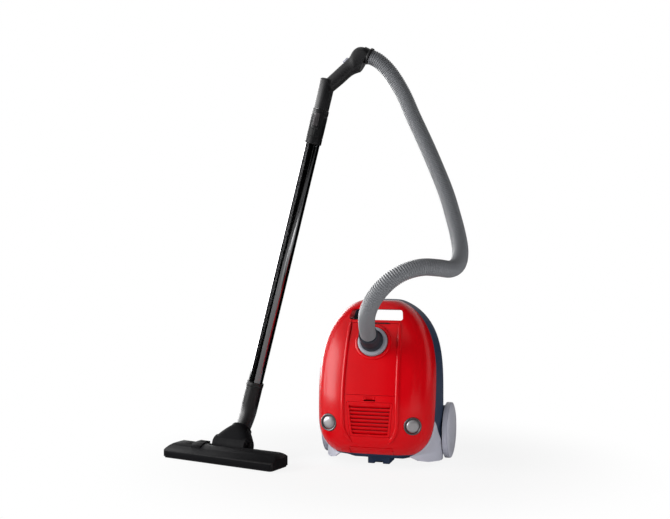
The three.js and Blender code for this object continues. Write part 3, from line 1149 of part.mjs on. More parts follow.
function buildPedal() {
  const top = (y) => NOZZLE_BACK_HEIGHT + 2.5 - Math.max(0, 8 - y) ** 2 / 90;
  const shape = new THREE.Shape();
  shape.moveTo(PEDAL_FRONT + 3, PEDAL_PIVOT_Z - 3);
  shape.lineTo(PEDAL_BACK - 3, PEDAL_PIVOT_Z + 2);
  shape.lineTo(PEDAL_BACK, PEDAL_PIVOT_Z + 5);
  shape.lineTo(PEDAL_BACK, top(PEDAL_BACK));
  shape.lineTo(8, top(8));
  shape.quadraticCurveTo(-2, top(0), PEDAL_FRONT + 1, top(PEDAL_FRONT) - 1);
  shape.lineTo(PEDAL_FRONT, PEDAL_PIVOT_Z);
  const half = (PEDAL_RIGHT - PEDAL_LEFT) / 2;
  const paddle = alongNozzle(shape, half).translate([(PEDAL_LEFT + PEDAL_RIGHT) / 2, 0, 0]);
  const pins = disc(1.5, PEDAL_LEFT - 2.5, PEDAL_RIGHT + 2.5, alongX(0, PEDAL_FRONT + 3, PEDAL_PIVOT_Z), 12);
  return paddle.add(pins);
}

// ---------- Assembly ----------
const vacuum = new THREE.Group();
const wand = new THREE.Group();
wand.applyMatrix4(WAND);
const nozzle = new THREE.Group();
nozzle.applyMatrix4(NOZZLE);
vacuum.add(wand, nozzle);

function place(name, manifold, material, group = vacuum) {
  const mesh = new THREE.Mesh(geometryOf(manifold), material);
  mesh.name = name;
  group.add(mesh);
}

place('top_cover', buildCover(), RED);
place('chassis', buildChassis(), CHASSIS_BLUE);
place('dust_cover', buildLid(), RED);
place('lid_hinge_pin', disc(PIN_RADIUS, -34, 34, alongX(0, HINGE_Y, HINGE_Z), 12), STEEL);
place('lid_latch', buildLatch(), RED);
place('inlet_collar', buildCollar(), PALE_GREY);
place('inlet_seal', buildSeal(), RUBBER);
place('exhaust_grille', buildGrille(), RED);
place('exhaust_filter', buildExhaustFilter(), FOAM);
for (const [side, label] of [[-1, 'left'], [1, 'right']]) {
  place(`wheel_arch_${label}`, buildArch(side), PALE_GREY);
  place(`wheel_${label}`, buildWheel(side), PALE_GREY);
  place(`wheel_axle_${label}`, buildWheelAxle(side), STEEL);
  place(`button_bezel_${label}`, buildBezel(side * BUTTON_X), BUTTON_GREY);
}
place('power_button', buildButton(-BUTTON_X), BUTTON_GREY);
place('rewind_button', buildButton(BUTTON_X), BUTTON_GREY);
place('power_switch', buildSwitch(), WHITE_PLASTIC);
place('castor_fork', buildCastorFork(), CHASSIS_BLUE);
place('castor_wheel', buildCastorWheel(), PALE_GREY);
place('castor_axle', buildCastorAxle(), STEEL);
place('cord_outlet', buildOutlet(), RUBBER);
place('bulkhead', buildBulkhead(), CHASSIS_BLUE);
place('motor_filter', buildMotorFilter(), FOAM);
place('motor_housing', buildHousing(), WHITE_PLASTIC);
place('motor', buildMotor(), STEEL);
place('fan', buildFan(), STEEL);
place('cord_reel', buildReel(), WHITE_PLASTIC);
place('reel_axle', buildReelAxle(), STEEL);
place('bag_holder', buildBagHolder(), WHITE_PLASTIC);
place('dust_bag', buildBag(), PAPER);

place('hose_elbow', buildElbow(), BLACK);
place('hose', buildHose(), HOSE_GREY);
place('hose_cuff', buildCuff(), BLACK);

place('handle', buildHandle(), BLACK, wand);
place('suction_slider', buildSlider(), PALE_GREY, wand);
place('inner_tube', tube(INNER_RADIUS, INNER_LOW, SLEEVE_TOP - 6), CHROME, wand);
place('outer_tube', tube(TUBE_RADIUS, TUBE_LOW - TUBE_SEAT + GAP, TUBE_HIGH + TUBE_SEAT), CHROME, wand);
place('tube_collar', buildLockCollar(), BLACK, wand);
place('tube_lock_button', buildLockButton(), BUTTON_GREY, wand);

place('neck_elbow', buildNeck(), BLACK);
place('neck_yoke', buildYoke(), BLACK);
place('nozzle_shell', buildNozzleShell(), BLACK, nozzle);
place('nozzle_soleplate', buildSoleplate(), BLACK, nozzle);
place('nozzle_pedal', buildPedal(), BLACK, nozzle);
place('brush_front', buildBrush(BRUSH_ROWS[0]), RUBBER, nozzle);
place('brush_rear', buildBrush(BRUSH_ROWS[1]), RUBBER, nozzle);
place('roller_left', buildRoller(-1), PALE_GREY, nozzle);
place('roller_right', buildRoller(1), PALE_GREY, nozzle);

export default vacuum;
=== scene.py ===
# %% [markdown]
# # A canister vacuum cleaner, parked upright
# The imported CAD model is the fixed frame. Everything here is in metres, +Z up, with the
# origin under the middle of the standing foot. The glossy cover looks along -Y, the
# chassis with its castor along +Y, and the wand leans on the -X side.
# Smooth pieces are modelled over the faceted CAD ones and ride on the same bodies.

# %% The frame
import json
import math

import bmesh
import bpy
import numpy as np
from mathutils import Matrix, Vector
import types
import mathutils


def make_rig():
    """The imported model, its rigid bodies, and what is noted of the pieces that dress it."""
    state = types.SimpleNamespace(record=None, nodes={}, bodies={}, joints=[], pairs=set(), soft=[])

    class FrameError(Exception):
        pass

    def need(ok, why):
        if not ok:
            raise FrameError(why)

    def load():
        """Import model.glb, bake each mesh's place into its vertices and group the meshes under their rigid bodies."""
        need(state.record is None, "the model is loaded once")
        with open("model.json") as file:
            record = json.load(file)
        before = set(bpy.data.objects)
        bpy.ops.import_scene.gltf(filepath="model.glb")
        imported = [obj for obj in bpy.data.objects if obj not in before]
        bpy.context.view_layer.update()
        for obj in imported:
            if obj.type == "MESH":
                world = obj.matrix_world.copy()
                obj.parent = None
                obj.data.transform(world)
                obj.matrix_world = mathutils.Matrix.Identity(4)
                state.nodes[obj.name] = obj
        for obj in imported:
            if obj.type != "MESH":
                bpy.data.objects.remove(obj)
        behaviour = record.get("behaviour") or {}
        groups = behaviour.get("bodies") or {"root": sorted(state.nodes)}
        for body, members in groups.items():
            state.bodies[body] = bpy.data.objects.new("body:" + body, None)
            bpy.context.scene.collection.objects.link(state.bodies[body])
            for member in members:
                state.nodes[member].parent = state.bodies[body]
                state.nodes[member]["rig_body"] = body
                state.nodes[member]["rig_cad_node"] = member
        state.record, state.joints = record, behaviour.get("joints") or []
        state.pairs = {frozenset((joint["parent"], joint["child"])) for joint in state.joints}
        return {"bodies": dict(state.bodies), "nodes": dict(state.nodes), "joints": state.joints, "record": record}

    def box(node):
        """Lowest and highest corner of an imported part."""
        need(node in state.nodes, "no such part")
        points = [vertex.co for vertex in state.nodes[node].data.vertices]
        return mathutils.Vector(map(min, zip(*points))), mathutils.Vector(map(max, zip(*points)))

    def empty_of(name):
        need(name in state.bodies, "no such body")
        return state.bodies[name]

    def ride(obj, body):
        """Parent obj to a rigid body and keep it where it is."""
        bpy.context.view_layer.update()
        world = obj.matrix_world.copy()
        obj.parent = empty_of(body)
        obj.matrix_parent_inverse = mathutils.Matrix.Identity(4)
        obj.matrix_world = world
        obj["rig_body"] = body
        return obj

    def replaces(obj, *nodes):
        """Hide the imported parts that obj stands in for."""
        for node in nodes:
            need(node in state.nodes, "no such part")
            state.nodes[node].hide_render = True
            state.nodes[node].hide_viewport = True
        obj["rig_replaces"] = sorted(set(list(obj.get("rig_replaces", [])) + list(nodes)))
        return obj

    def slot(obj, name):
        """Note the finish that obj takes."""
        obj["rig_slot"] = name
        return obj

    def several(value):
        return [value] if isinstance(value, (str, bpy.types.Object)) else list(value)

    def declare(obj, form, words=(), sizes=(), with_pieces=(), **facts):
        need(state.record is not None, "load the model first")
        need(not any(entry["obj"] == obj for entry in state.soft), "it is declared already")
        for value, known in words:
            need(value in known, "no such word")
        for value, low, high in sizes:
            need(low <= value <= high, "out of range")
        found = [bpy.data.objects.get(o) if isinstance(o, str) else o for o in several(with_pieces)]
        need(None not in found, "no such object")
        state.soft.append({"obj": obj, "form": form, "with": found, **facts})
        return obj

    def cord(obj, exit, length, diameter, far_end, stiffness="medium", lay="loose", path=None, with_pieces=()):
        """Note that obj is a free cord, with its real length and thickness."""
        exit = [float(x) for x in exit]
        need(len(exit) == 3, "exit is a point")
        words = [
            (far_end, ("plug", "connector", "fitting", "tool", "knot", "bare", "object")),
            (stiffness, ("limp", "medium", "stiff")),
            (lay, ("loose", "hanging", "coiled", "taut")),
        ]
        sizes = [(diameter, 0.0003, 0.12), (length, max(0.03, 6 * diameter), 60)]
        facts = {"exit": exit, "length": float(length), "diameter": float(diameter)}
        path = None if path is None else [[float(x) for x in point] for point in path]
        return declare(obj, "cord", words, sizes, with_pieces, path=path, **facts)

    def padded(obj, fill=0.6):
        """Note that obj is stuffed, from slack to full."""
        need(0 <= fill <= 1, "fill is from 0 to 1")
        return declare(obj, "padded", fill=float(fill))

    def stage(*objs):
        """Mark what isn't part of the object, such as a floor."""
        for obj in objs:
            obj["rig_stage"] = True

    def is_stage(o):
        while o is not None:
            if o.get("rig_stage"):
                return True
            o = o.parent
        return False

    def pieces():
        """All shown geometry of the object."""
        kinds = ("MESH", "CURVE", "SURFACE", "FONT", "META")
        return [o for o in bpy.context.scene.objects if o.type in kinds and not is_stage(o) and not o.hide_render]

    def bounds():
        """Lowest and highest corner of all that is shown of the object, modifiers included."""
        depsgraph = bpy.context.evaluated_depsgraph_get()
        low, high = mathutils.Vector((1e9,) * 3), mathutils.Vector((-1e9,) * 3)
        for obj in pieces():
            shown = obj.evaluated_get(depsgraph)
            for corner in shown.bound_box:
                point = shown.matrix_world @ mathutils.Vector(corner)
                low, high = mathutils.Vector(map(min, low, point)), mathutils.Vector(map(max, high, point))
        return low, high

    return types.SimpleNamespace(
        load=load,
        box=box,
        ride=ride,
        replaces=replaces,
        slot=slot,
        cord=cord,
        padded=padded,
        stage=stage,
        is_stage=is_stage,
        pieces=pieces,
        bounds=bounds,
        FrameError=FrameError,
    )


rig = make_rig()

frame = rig.load()
cad_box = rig.bounds()
nodes = frame["nodes"]
joints = {joint["name"]: joint for joint in frame["record"]["behaviour"]["joints"]}
MM = 0.001
TO_BACK = Vector((0, 1, 0))
UP = Vector((0, 0, 1))
at = Matrix.Translation
print("frame:", len(nodes), "nodes,", len(joints), "joints")

# %% [markdown]
# ## Camera
# A portrait lens from about two and a half metres, a little above the floor, turned to
# see the cover slightly from its right. The whole machine fits the frame.


# %% Camera
def point(x, y, z):
    return Vector((x, y, z)) * MM


def placed(name, data):
    thing = bpy.data.objects.new(name, data)
    bpy.context.collection.objects.link(thing)
    return thing


eye = bpy.data.cameras.new("camera")
eye.sensor_width = 36
eye.lens = 57.39
camera = placed("camera", eye)
camera.location = point(562.4, -2435.9, 550)
camera.rotation_euler = (math.radians(90 - 1.73), 0, math.radians(15.5))
bpy.context.scene.camera = camera
print("camera at", [round(c, 3) for c in camera.location])

# %% [markdown]
# ## The hose
# A vacuum hose is a thin plastic skin held round by a helical rib. Its route is a given list
# of points from the handle down to the inlet, joined by one smooth curve.
# The rib is a ripple in the radius whose phase turns once round the hose for each pitch,
# so the ripple climbs the hose as a screw thread does.

# %% Points along the route
HOSE_ROUTE = [
    point(*spot)
    for spot in (
        (-25, -5, 946), (-8, -4, 937), (18, 1, 911), (48, 4, 863), (76, 2, 802),
        (105, -7, 743), (133, -24, 685), (159, -44, 628), (177, -64, 580), (193, -90, 535),
        (204, -124, 499), (207, -172, 473), (200, -230, 463), (182, -275, 467),
        (155, -304, 469), (125, -323, 461), (98, -332, 445), (75, -331, 424),
        (56, -321, 401), (42, -302, 379), (31, -272, 361), (22, -236, 346),
        (14, -200, 331), (8, -166, 316),
    )
]
HOSE_RADIUS, RIB_PITCH, RIB_DEPTH = 18 * MM, 4.6 * MM, 1.7 * MM


def smooth_path(points, per_span=24):
    """Points of a centripetal Catmull-Rom curve through the given ones."""
    ends = [2 * points[0] - points[1], *points, 2 * points[-1] - points[-2]]
    path = []
    for i in range(1, len(ends) - 2):
        p0, p1, p2, p3 = ends[i - 1 : i + 3]
        t0, t1, t2 = [(b - a).length ** 0.5 for a, b in ((p0, p1), (p1, p2), (p2, p3))]
        m1 = (p1 - p0) / t0 - (p2 - p0) / (t0 + t1) + (p2 - p1) / t1
        m2 = (p2 - p1) / t1 - (p3 - p1) / (t1 + t2) + (p3 - p2) / t2
        m1, m2 = m1 * t1, m2 * t1
        for k in range(per_span):
            t = k / per_span
            path.append(
                (2 * t**3 - 3 * t**2 + 1) * p1 + (t**3 - 2 * t**2 + t) * m1
                + (3 * t**2 - 2 * t**3) * p2 + (t**3 - t**2) * m2
            )
    return [*path, points[-1].copy()]


def even_path(path, step):
    """The same line, cut into equal steps of about the given length."""
    flat = np.array([p[:] for p in path])
    reach = np.concatenate([[0], np.cumsum(np.linalg.norm(np.diff(flat, axis=0), axis=1))])
    along = np.linspace(0, reach[-1], max(2, round(reach[-1] / step)) + 1)
    return [Vector(p) for p in zip(*[np.interp(along, reach, flat[:, k]) for k in range(3)])]


hose_line = smooth_path(HOSE_ROUTE)
hose_length = sum((b - a).length for a, b in zip(hose_line, hose_line[1:]))
print("hose length", round(hose_length, 3))


# %% Skin of the hose
def mean_ways(ways):
    """The way at each point, from the ways of the steps between them."""
    return [ways[0], *[a + b for a, b in zip(ways, ways[1:])], ways[-1]]


def carried_frames(path):
    """Axes along a path that never twist: each is the last one turned by the bend."""
    ways = mean_ways([(b - a).normalized() for a, b in zip(path, path[1:])])
    across = ways[0].orthogonal().normalized()
    for spot, way in zip(path, ways):
        way = way.normalized()
        across = (across - way * across.dot(way)).normalized()
        yield spot, way, across


def ribbed_tube(name, path, radius, pitch, depth, sides=24, rings_per_rib=6):
    rings = list(carried_frames(even_path(path, pitch / rings_per_rib)))
    corners, faces = [], []
    for i, (spot, way, across) in enumerate(rings):
        other = way.cross(across)
        for j in range(sides):
            turn = j / sides
            phase = 2 * math.pi * (i / rings_per_rib - turn)
            size = radius - depth * (0.5 - 0.5 * math.cos(phase)) ** 1.6
            angle = 2 * math.pi * turn
            corners.append(spot + (across * math.cos(angle) + other * math.sin(angle)) * size)
    for i in range(len(rings) - 1):
        for j in range(sides):
            a, b = i * sides + j, i * sides + (j + 1) % sides
            faces.append((a, b, b + sides, a + sides))
    last = (len(rings) - 1) * sides
    faces += [tuple(reversed(range(sides))), tuple(range(last, last + sides))]
    mesh = bpy.data.meshes.new(name)
    mesh.from_pydata([c[:] for c in corners], [], faces)
    mesh.update()
    return placed(name, mesh)


hose = ribbed_tube("hose_ribbed", hose_line, HOSE_RADIUS, RIB_PITCH, RIB_DEPTH)
for face in hose.data.polygons:
    face.use_smooth = len(face.vertices) == 4
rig.ride(hose, "hose_set")
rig.replaces(hose, "hose")
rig.slot(hose, "hose_grey")
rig.cord(
    hose, exit=HOSE_ROUTE[-1][:], length=round(hose_length, 3), diameter=2 * HOSE_RADIUS,
    far_end="object", stiffness="stiff", lay="loose",
    path=[p[:] for p in even_path(hose_line, 10 * MM)],
)
print("hose faces", len(hose.data.polygons))

# %% [markdown]
# ## Making pieces
# A few moves make nearly every piece here, all of them edit-mode operators: a ring that
# is extruded along stations (`swept`, `lofted`), a profile that is spun round an axis
# (`turned`), an outline pushed through a depth (`pushed`), and solids joined or cut by a
# Boolean modifier that is applied at once (`cut`, `within`, `fused`).


# %% Selecting and editing
def only(piece):
    bpy.ops.object.select_all(action="DESELECT")
    piece.select_set(True)
    bpy.context.view_layer.objects.active = piece


def primitive(name, add, **settings):
    bpy.ops.object.select_all(action="DESELECT")
    add(**settings)
    piece = bpy.context.object
    piece.name = piece.data.name = name
    return piece


def edit(piece, *moves):
    """Runs edit-mode moves on a piece, all of it selected, and turns its faces outwards."""
    only(piece)
    bpy.ops.object.mode_set(mode="EDIT")
    bpy.ops.mesh.select_all(action="SELECT")
    for move in moves:
        move()
    bpy.ops.mesh.select_all(action="SELECT")
    bpy.ops.mesh.normals_make_consistent(inside=False)
    bpy.ops.object.mode_set(mode="OBJECT")
    return piece


def modified(piece, kind, **settings):
    """Applies one modifier to a piece."""
    step = piece.modifiers.new(kind, kind)
    for key, value in settings.items():
        setattr(step, key, value)
    only(piece)
    bpy.ops.object.modifier_apply(modifier=step.name)
    return piece


def ring_of(name, spots, fill="NGON"):
    """A closed ring, or a face, with its corners at the given spots."""
    add = bpy.ops.mesh.primitive_circle_add
    piece = primitive(name, add, vertices=len(spots), fill_type=fill)
    for vertex, spot in zip(piece.data.vertices, spots):
        vertex.co = spot
    return piece


def smooth(piece, angle=35):
    only(piece)
    bpy.ops.object.shade_smooth_by_angle(angle=math.radians(angle))
    return piece


def softened(piece, width, segments=2, angle=40):
    """Rounds the sharp edges of a moulded piece."""
    limit = {"limit_method": "ANGLE", "angle_limit": math.radians(angle)}
    return smooth(modified(piece, "BEVEL", width=width * MM, segments=segments, **limit))


# %% Sweeping, turning, pushing
def axes(x, y, z):
    return Matrix((x, y, z)).transposed().to_4x4()


def rotated(degrees, axis):
    return Matrix.Rotation(math.radians(degrees), 4, axis)


def facing(spot, way):
    return at(spot) @ way.to_track_quat("Z", "Y").to_matrix().to_4x4()


def station(centre, way, across, width, depth):
    """A frame whose X and Y are a ring's half-width and half-depth."""
    way = way.normalized()
    across = (across - way * across.dot(way)).normalized()
    return at(centre) @ axes(across * width, way.cross(across) * depth, way)


def climbed(piece, moves):
    """A face extruded once for each of the moves, which say where its corners go."""

    def climb():
        for move in moves:
            bpy.ops.mesh.extrude_region_move()
            form = bmesh.from_edit_mesh(piece.data)
            for vertex in form.verts:
                if vertex.select:
                    vertex.co = move(vertex.co)
            bmesh.update_edit_mesh(piece.data)

    return edit(piece, climb)


def circle(sides):
    """Cosine and sine at equal steps round a circle."""
    for j in range(sides):
        angle = 2 * math.pi * j / sides
        yield math.cos(angle), math.sin(angle)


def squared(value, power):
    """A cosine or sine pushed out to a rounded square."""
    return math.copysign(abs(value) ** power, value)


def swept(name, stations, sides=32):
    """An ellipse extruded from station to station and closed at both ends."""
    piece = ring_of(name, [stations[0] @ Vector((x, y, 0)) for x, y in circle(sides)])
    steps = [this @ last.inverted() for last, this in zip(stations, stations[1:])]
    return climbed(piece, [lambda spot, step=step: step @ spot for step in steps])


def lofted(name, rings):
    """A ring extruded through any rings that have as many corners, closed at both ends."""

    def onto(last, this):
        before = np.array([spot[:] for spot in last])
        return lambda co: this[np.argmin(np.sum((before - np.array(co[:])) ** 2, axis=1))]

    return climbed(ring_of(name, rings[0]), [onto(*pair) for pair in zip(rings, rings[1:])])


def pipe(name, points, sizes, across, sides, per_span):
    """A swept tube whose radius changes smoothly along its points, in millimetres."""
    path = smooth_path(points, per_span)
    size = np.interp(np.linspace(0, 1, len(path)), np.linspace(0, 1, len(sizes)), sizes)
    ways = mean_ways([b - a for a, b in zip(path, path[1:])])
    rows = zip(path, ways, size * MM)
    return swept(name, [station(p, way, across, s, s) for p, way, s in rows], sides)


def turned(name, profile, place, steps=64):
    """A closed outline of (radius, height) in millimetres, spun round the Z of a place."""
    spin = {"steps": steps, "angle": 2 * math.pi, "center": (0, 0, 0), "axis": (0, 0, 1)}
    loose = {"use_verts": True, "use_edges": True, "use_faces": False}
    piece = edit(
        ring_of(name, [(r * MM, 0, h * MM) for r, h in profile], "NOTHING"),
        lambda: bpy.ops.mesh.spin(**spin),
        lambda: bpy.ops.mesh.select_all(action="SELECT"),
        lambda: bpy.ops.mesh.remove_doubles(threshold=1e-6),
        lambda: bpy.ops.mesh.delete_loose(**loose),
    )
    piece.data.transform(place)
    return piece


def rod(radius, low, high, place, steps=64):
    """A plain turned solid, for bores and pins."""
    return turned("rod", [(0, low), (radius, low), (radius, high), (0, high)], place, steps)


def pushed(name, outline, low, high, place=Matrix()):
    """An outline of (x, z) in millimetres pushed through Y from low to high."""
    piece = ring_of(name, [(x * MM, low * MM, z * MM) for x, z in outline])
    move = {"value": (0, (high - low) * MM, 0)}
    edit(piece, lambda: bpy.ops.mesh.extrude_region_move(TRANSFORM_OT_translate=move))
    piece.data.transform(place)
    return piece


ACROSS = rotated(90, "Z")  # an outline of (y, z), pushed along -X
UPRIGHT = rotated(90, "X")  # an outline of (x, -y), pushed along Z


def slab(low, high, place=Matrix(), name="slab"):
    """A block between two corners, in millimetres."""
    (x0, y0, z0), (x1, y1, z1) = low, high
    return pushed(name, [(x0, z0), (x1, z0), (x1, z1), (x0, z1)], y0, y1, place)


# %% Joining and cutting
def combined(how):
    def combine(piece, *tools, keep=False):
        for tool in tools:
            modified(piece, "BOOLEAN", operation=how, object=tool, solver="MANIFOLD")
            if not keep:
                bpy.data.objects.remove(tool)
        return piece

    return combine


cut, within, fused = [combined(how) for how in ("DIFFERENCE", "INTERSECT", "UNION")]


def joined(base, *extras):
    """Joins finished pieces into one mesh, without cutting them."""
    only(base)
    for piece in extras:
        piece.select_set(True)
    bpy.ops.object.join()
    return base


def copy_of(piece, name):
    twin = placed(name, piece.data.copy())
    twin.data.name = name
    return twin


def stands_for(piece, body, cad_node, slot):
    """The piece rides on a body in place of a CAD node, in that node's material slot."""
    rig.ride(piece, body)
    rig.replaces(piece, cad_node)
    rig.slot(piece, slot)
    finished.append((piece, slot))
    print(piece.name, "faces", len(piece.data.polygons))
    return piece


finished = [(hose, "hose_grey")]
print("tools ready")

# %% [markdown]
# ## The canister's form
# Cover, lid, grille and chassis are cut from one swelling form: a UV sphere whose rings are
# moved onto rounded-square sections that widen to the level of the keys and lean back. A
# mesh cut out of it gets its shading normals from the same formula, so that reflections
# run on smoothly across every seam.

# %% The form
BODY_LOW, WIDEST_Z, END_SLACK = 14.0, 139.0, 8
BODY_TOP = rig.box("top_cover")[1][2] / MM
HALF_WIDTH, FRONT_DEPTH, BACK_DEPTH = 138.0, 122.0, 129.0
FACE_LEAN, FACE_EASE = 1.15, 0.15
FRONT_SQUARE, BACK_SQUARE = 3.6, 4.1
WALL, END_ROUND = 3.0, 4.0
FAR, FACE_BACK = 300, -40
SIDES = {-1: "left", 1: "right"}


def rise_of(z):
    """0 at the widest level and nearly 1 at both ends."""
    z = np.asarray(z, float)
    below = (WIDEST_Z - z) / (WIDEST_Z - BODY_LOW + END_SLACK)
    above = (z - WIDEST_Z) / (BODY_TOP - WIDEST_Z + END_SLACK)
    return np.maximum(np.where(z < WIDEST_Z, below, above), 0)


def swell(z, power=3.4):
    return np.sqrt(np.maximum(0, 1 - rise_of(z) ** power))


def front_swell(z):
    eased = np.hypot(rise_of(z), FACE_EASE) - FACE_EASE
    eased = eased / (math.hypot(1, FACE_EASE) - FACE_EASE)
    above = np.sqrt(np.maximum(0, 1 - eased**FACE_LEAN))
    return np.where(np.asarray(z) < WIDEST_Z, swell(z), above)


def back_swell(z):
    return np.where(np.asarray(z) < WIDEST_Z, swell(z, 5), swell(z, 3.8))


def half_sizes(z, grow=0.0):
    """Half-width, front depth and back depth of the form at a height."""
    clear = np.clip(np.minimum(BODY_TOP + grow - z, z - BODY_LOW + grow) / END_ROUND, 0, 1)
    shrink = grow - END_ROUND * (1 - np.sqrt(np.maximum(0, 1 - (1 - clear) ** 2)))
    sizes = HALF_WIDTH * swell(z), FRONT_DEPTH * front_swell(z), BACK_DEPTH * back_swell(z)
    return [np.maximum(size + shrink, 1) for size in sizes]


def form_value(p):
    """Below 0 inside the form, above 0 outside it. p is an array of points in mm."""
    width, front, back = half_sizes(p[:, 2])
    ahead = p[:, 1] < 0
    depth = np.where(ahead, front, back)
    power = np.where(ahead, FRONT_SQUARE, BACK_SQUARE)
    reach = np.abs(p[:, 0] / width) ** power + np.abs(p[:, 1] / depth) ** power
    return reach ** (1 / power) - 1


def form_normals(p, step=0.25):
    slope = [form_value(p + step * e) - form_value(p - step * e) for e in np.eye(3)]
    slope = np.stack(slope, axis=1)
    return slope / np.maximum(np.linalg.norm(slope, axis=1, keepdims=True), 1e-9)


def egg(grow=0.0):
    """The form as a closed solid, grown outwards by some millimetres."""
    add = bpy.ops.mesh.primitive_uv_sphere_add
    piece = primitive("egg", add, segments=128, ring_count=88, radius=1)
    ball = np.array([v.co[:] for v in piece.data.vertices])
    z = (BODY_TOP + BODY_LOW) / 2 + ((BODY_TOP - BODY_LOW) / 2 + grow) * ball[:, 2]
    width, front, back = half_sizes(z, grow)
    angle = np.arctan2(ball[:, 1], ball[:, 0])
    c, s = np.cos(angle), np.sin(angle)
    power = np.where(s < 0, FRONT_SQUARE, BACK_SQUARE)
    size = (np.abs(c) ** power + np.abs(s) ** power) ** (-1 / power)
    size = np.where(np.abs(ball[:, 2]) > 0.99999, 0, size)
    depth = np.where(s < 0, front, back)
    spots = np.column_stack([width * size * c, depth * size * s, z]) * MM
    piece.data.vertices.foreach_set("co", spots.ravel())
    piece.data.update()
    return piece


def half_width(z):
    return HALF_WIDTH * float(swell(z))


def skin_y(x, z, depth, power):
    across = min(1, abs(x) / half_width(z))
    return depth * (1 - across**power) ** (1 / power)


def face_y(x, z):
    """Where the cover's skin lies at a place on the face, in mm."""
    return skin_y(x, z, -FRONT_DEPTH * float(front_swell(z)), FRONT_SQUARE)


def back_y(x, z):
    return skin_y(x, z, BACK_DEPTH * float(back_swell(z)), BACK_SQUARE)


def body_x(y, z):
    """Half-width of the form at a depth and a level, in mm."""
    if y < 0:
        depth, power = FRONT_DEPTH * float(front_swell(z)), FRONT_SQUARE
    else:
        depth, power = BACK_DEPTH * float(back_swell(z)), BACK_SQUARE
    return half_width(z) * max(0, 1 - (abs(y) / depth) ** power) ** (1 / power)


def true_shading(piece):
    """Faces that lie on the form take their shading from its formula."""
    mesh = smooth(piece, 30).data
    spots = np.array([v.co[:] for v in mesh.vertices]) / MM
    wanted = form_normals(spots[[loop.vertex_index for loop in mesh.loops]])
    normals = np.array([corner.vector[:] for corner in mesh.corner_normals])
    middles = np.array([face.center[:] for face in mesh.polygons]) / MM
    flat = np.array([face.normal[:] for face in mesh.polygons])
    along = np.sum(form_normals(middles) * flat, axis=1) > 0.93
    on_form = along & (np.abs(form_value(middles)) < 0.012)
    for face, on in zip(mesh.polygons, on_form):
        if on:
            loops = list(face.loop_indices)
            normals[loops] = wanted[loops]
    mesh.normals_split_custom_set([tuple(n) for n in normals])


form, form_inside = egg(), egg(-WALL)
shell = cut(copy_of(form, "shell"), form_inside, keep=True)
print("form faces", len(form.data.polygons), "shell faces", len(shell.data.polygons))

# %% [markdown]
# ## Outlines on the cover
# The centre panel has bowed sides that curl in at the foot. The lid fills its upper part
# and the exhaust grille its lower part; a raised ridge runs down both sides. The seam with
# the chassis is one leaning plane, and so is the floor of the carrying slot.

# %% Panel outlines
PANEL_TOP, PANEL_WAIST_Z, PANEL_HALF_TOP, PANEL_HALF, RIDGE_FOOT = 331, 165, 54, 59, 64
PANEL_CURL_Z, PANEL_CURL = 110, 0.01
PIECE_GAP, WINDOW_GAP = 0.2, 0.5
TRAY_TOP, TRAY_LOW = 35, 31
LID_BOTTOM, LATCH_LOW, LATCH_HIGH, GRILLE_TOP, GRILLE_BOTTOM = 174, 164, 170, 158, 80
GRILLE_HALF, GRILLE_TAPER, GRILLE_FRAME, LOUVRES = 53, 7, 5, 8
SLOT_LOW, SLOT_HIGH, SLOT_HALF_LOW, SLOT_HALF_HIGH, SLOT_ROUND = 339, 364, 64, 59, 8
SEAM_FOOT_Y, SEAM_TOP_Y, SEAM_HEIGHT, SEAM_GAP = -72, -5, 366, 0.4
SEAM_TILT = math.atan2(SEAM_TOP_Y - SEAM_FOOT_Y, SEAM_HEIGHT)
SEAM_FOOT = at(point(0, SEAM_FOOT_Y, BODY_LOW))
SEAM = SEAM_FOOT @ Matrix.Rotation(-SEAM_TILT, 4, "X")
SLOT_MIDDLE = at(point(0, -75, 351.5))
SLOT = SLOT_MIDDLE @ rotated(-5, "X") @ SLOT_MIDDLE.inverted()


def seam_y(z):
    return SEAM_FOOT_Y + (z - BODY_LOW) * math.tan(SEAM_TILT)


def mirrored(right):
    return right + [(-x, z) for x, z in reversed(right)]


def panel_side(z, grow=0.0):
    rise = max(0, (z - PANEL_WAIST_Z) / (PANEL_TOP - PANEL_WAIST_Z))
    curl = max(0, PANEL_CURL_Z - z)
    return PANEL_HALF + grow - (PANEL_HALF - PANEL_HALF_TOP) * rise**2 - PANEL_CURL * curl**2


def panel_outline(grow, low, high, count=24):
    heights = [low + (high - low) * i / count for i in range(count + 1)]
    return mirrored([(panel_side(z, grow), z) for z in heights])


def rounded(outline, radius, steps=5):
    """The same outline with each corner turned into an arc."""
    soft = []
    for i, corner in enumerate(outline):
        here = Vector(corner)
        before, after = Vector(outline[i - 1]), Vector(outline[(i + 1) % len(outline)])
        a = here + (before - here).normalized() * radius
        b = here + (after - here).normalized() * radius
        for k in range(steps + 1):
            t = k / steps
            soft.append(tuple((1 - t) ** 2 * a + 2 * t * (1 - t) * here + t * t * b))
    return soft


def grille_outline(grow, radius):
    top, low = GRILLE_HALF + grow, GRILLE_HALF - GRILLE_TAPER + grow
    under, over = GRILLE_BOTTOM - grow, GRILLE_TOP + grow
    return rounded([(-low, under), (low, under), (top, over), (-top, over)], radius)


def slot_block(grow):
    low, high = SLOT_LOW - grow, SLOT_HIGH + grow
    wide, slim = SLOT_HALF_LOW + grow, SLOT_HALF_HIGH + grow
    corners = [(-wide, low), (wide, low), (slim, high), (-slim, high)]
    return pushed("slot", rounded(corners, SLOT_ROUND + grow), -FAR, FAR, SLOT)


def window(outline):
    """An outline pushed in from the front, through the cover's face only."""
    return pushed("window", outline, -FAR, FACE_BACK)


print("seam leans", round(math.degrees(SEAM_TILT), 1), "degrees")

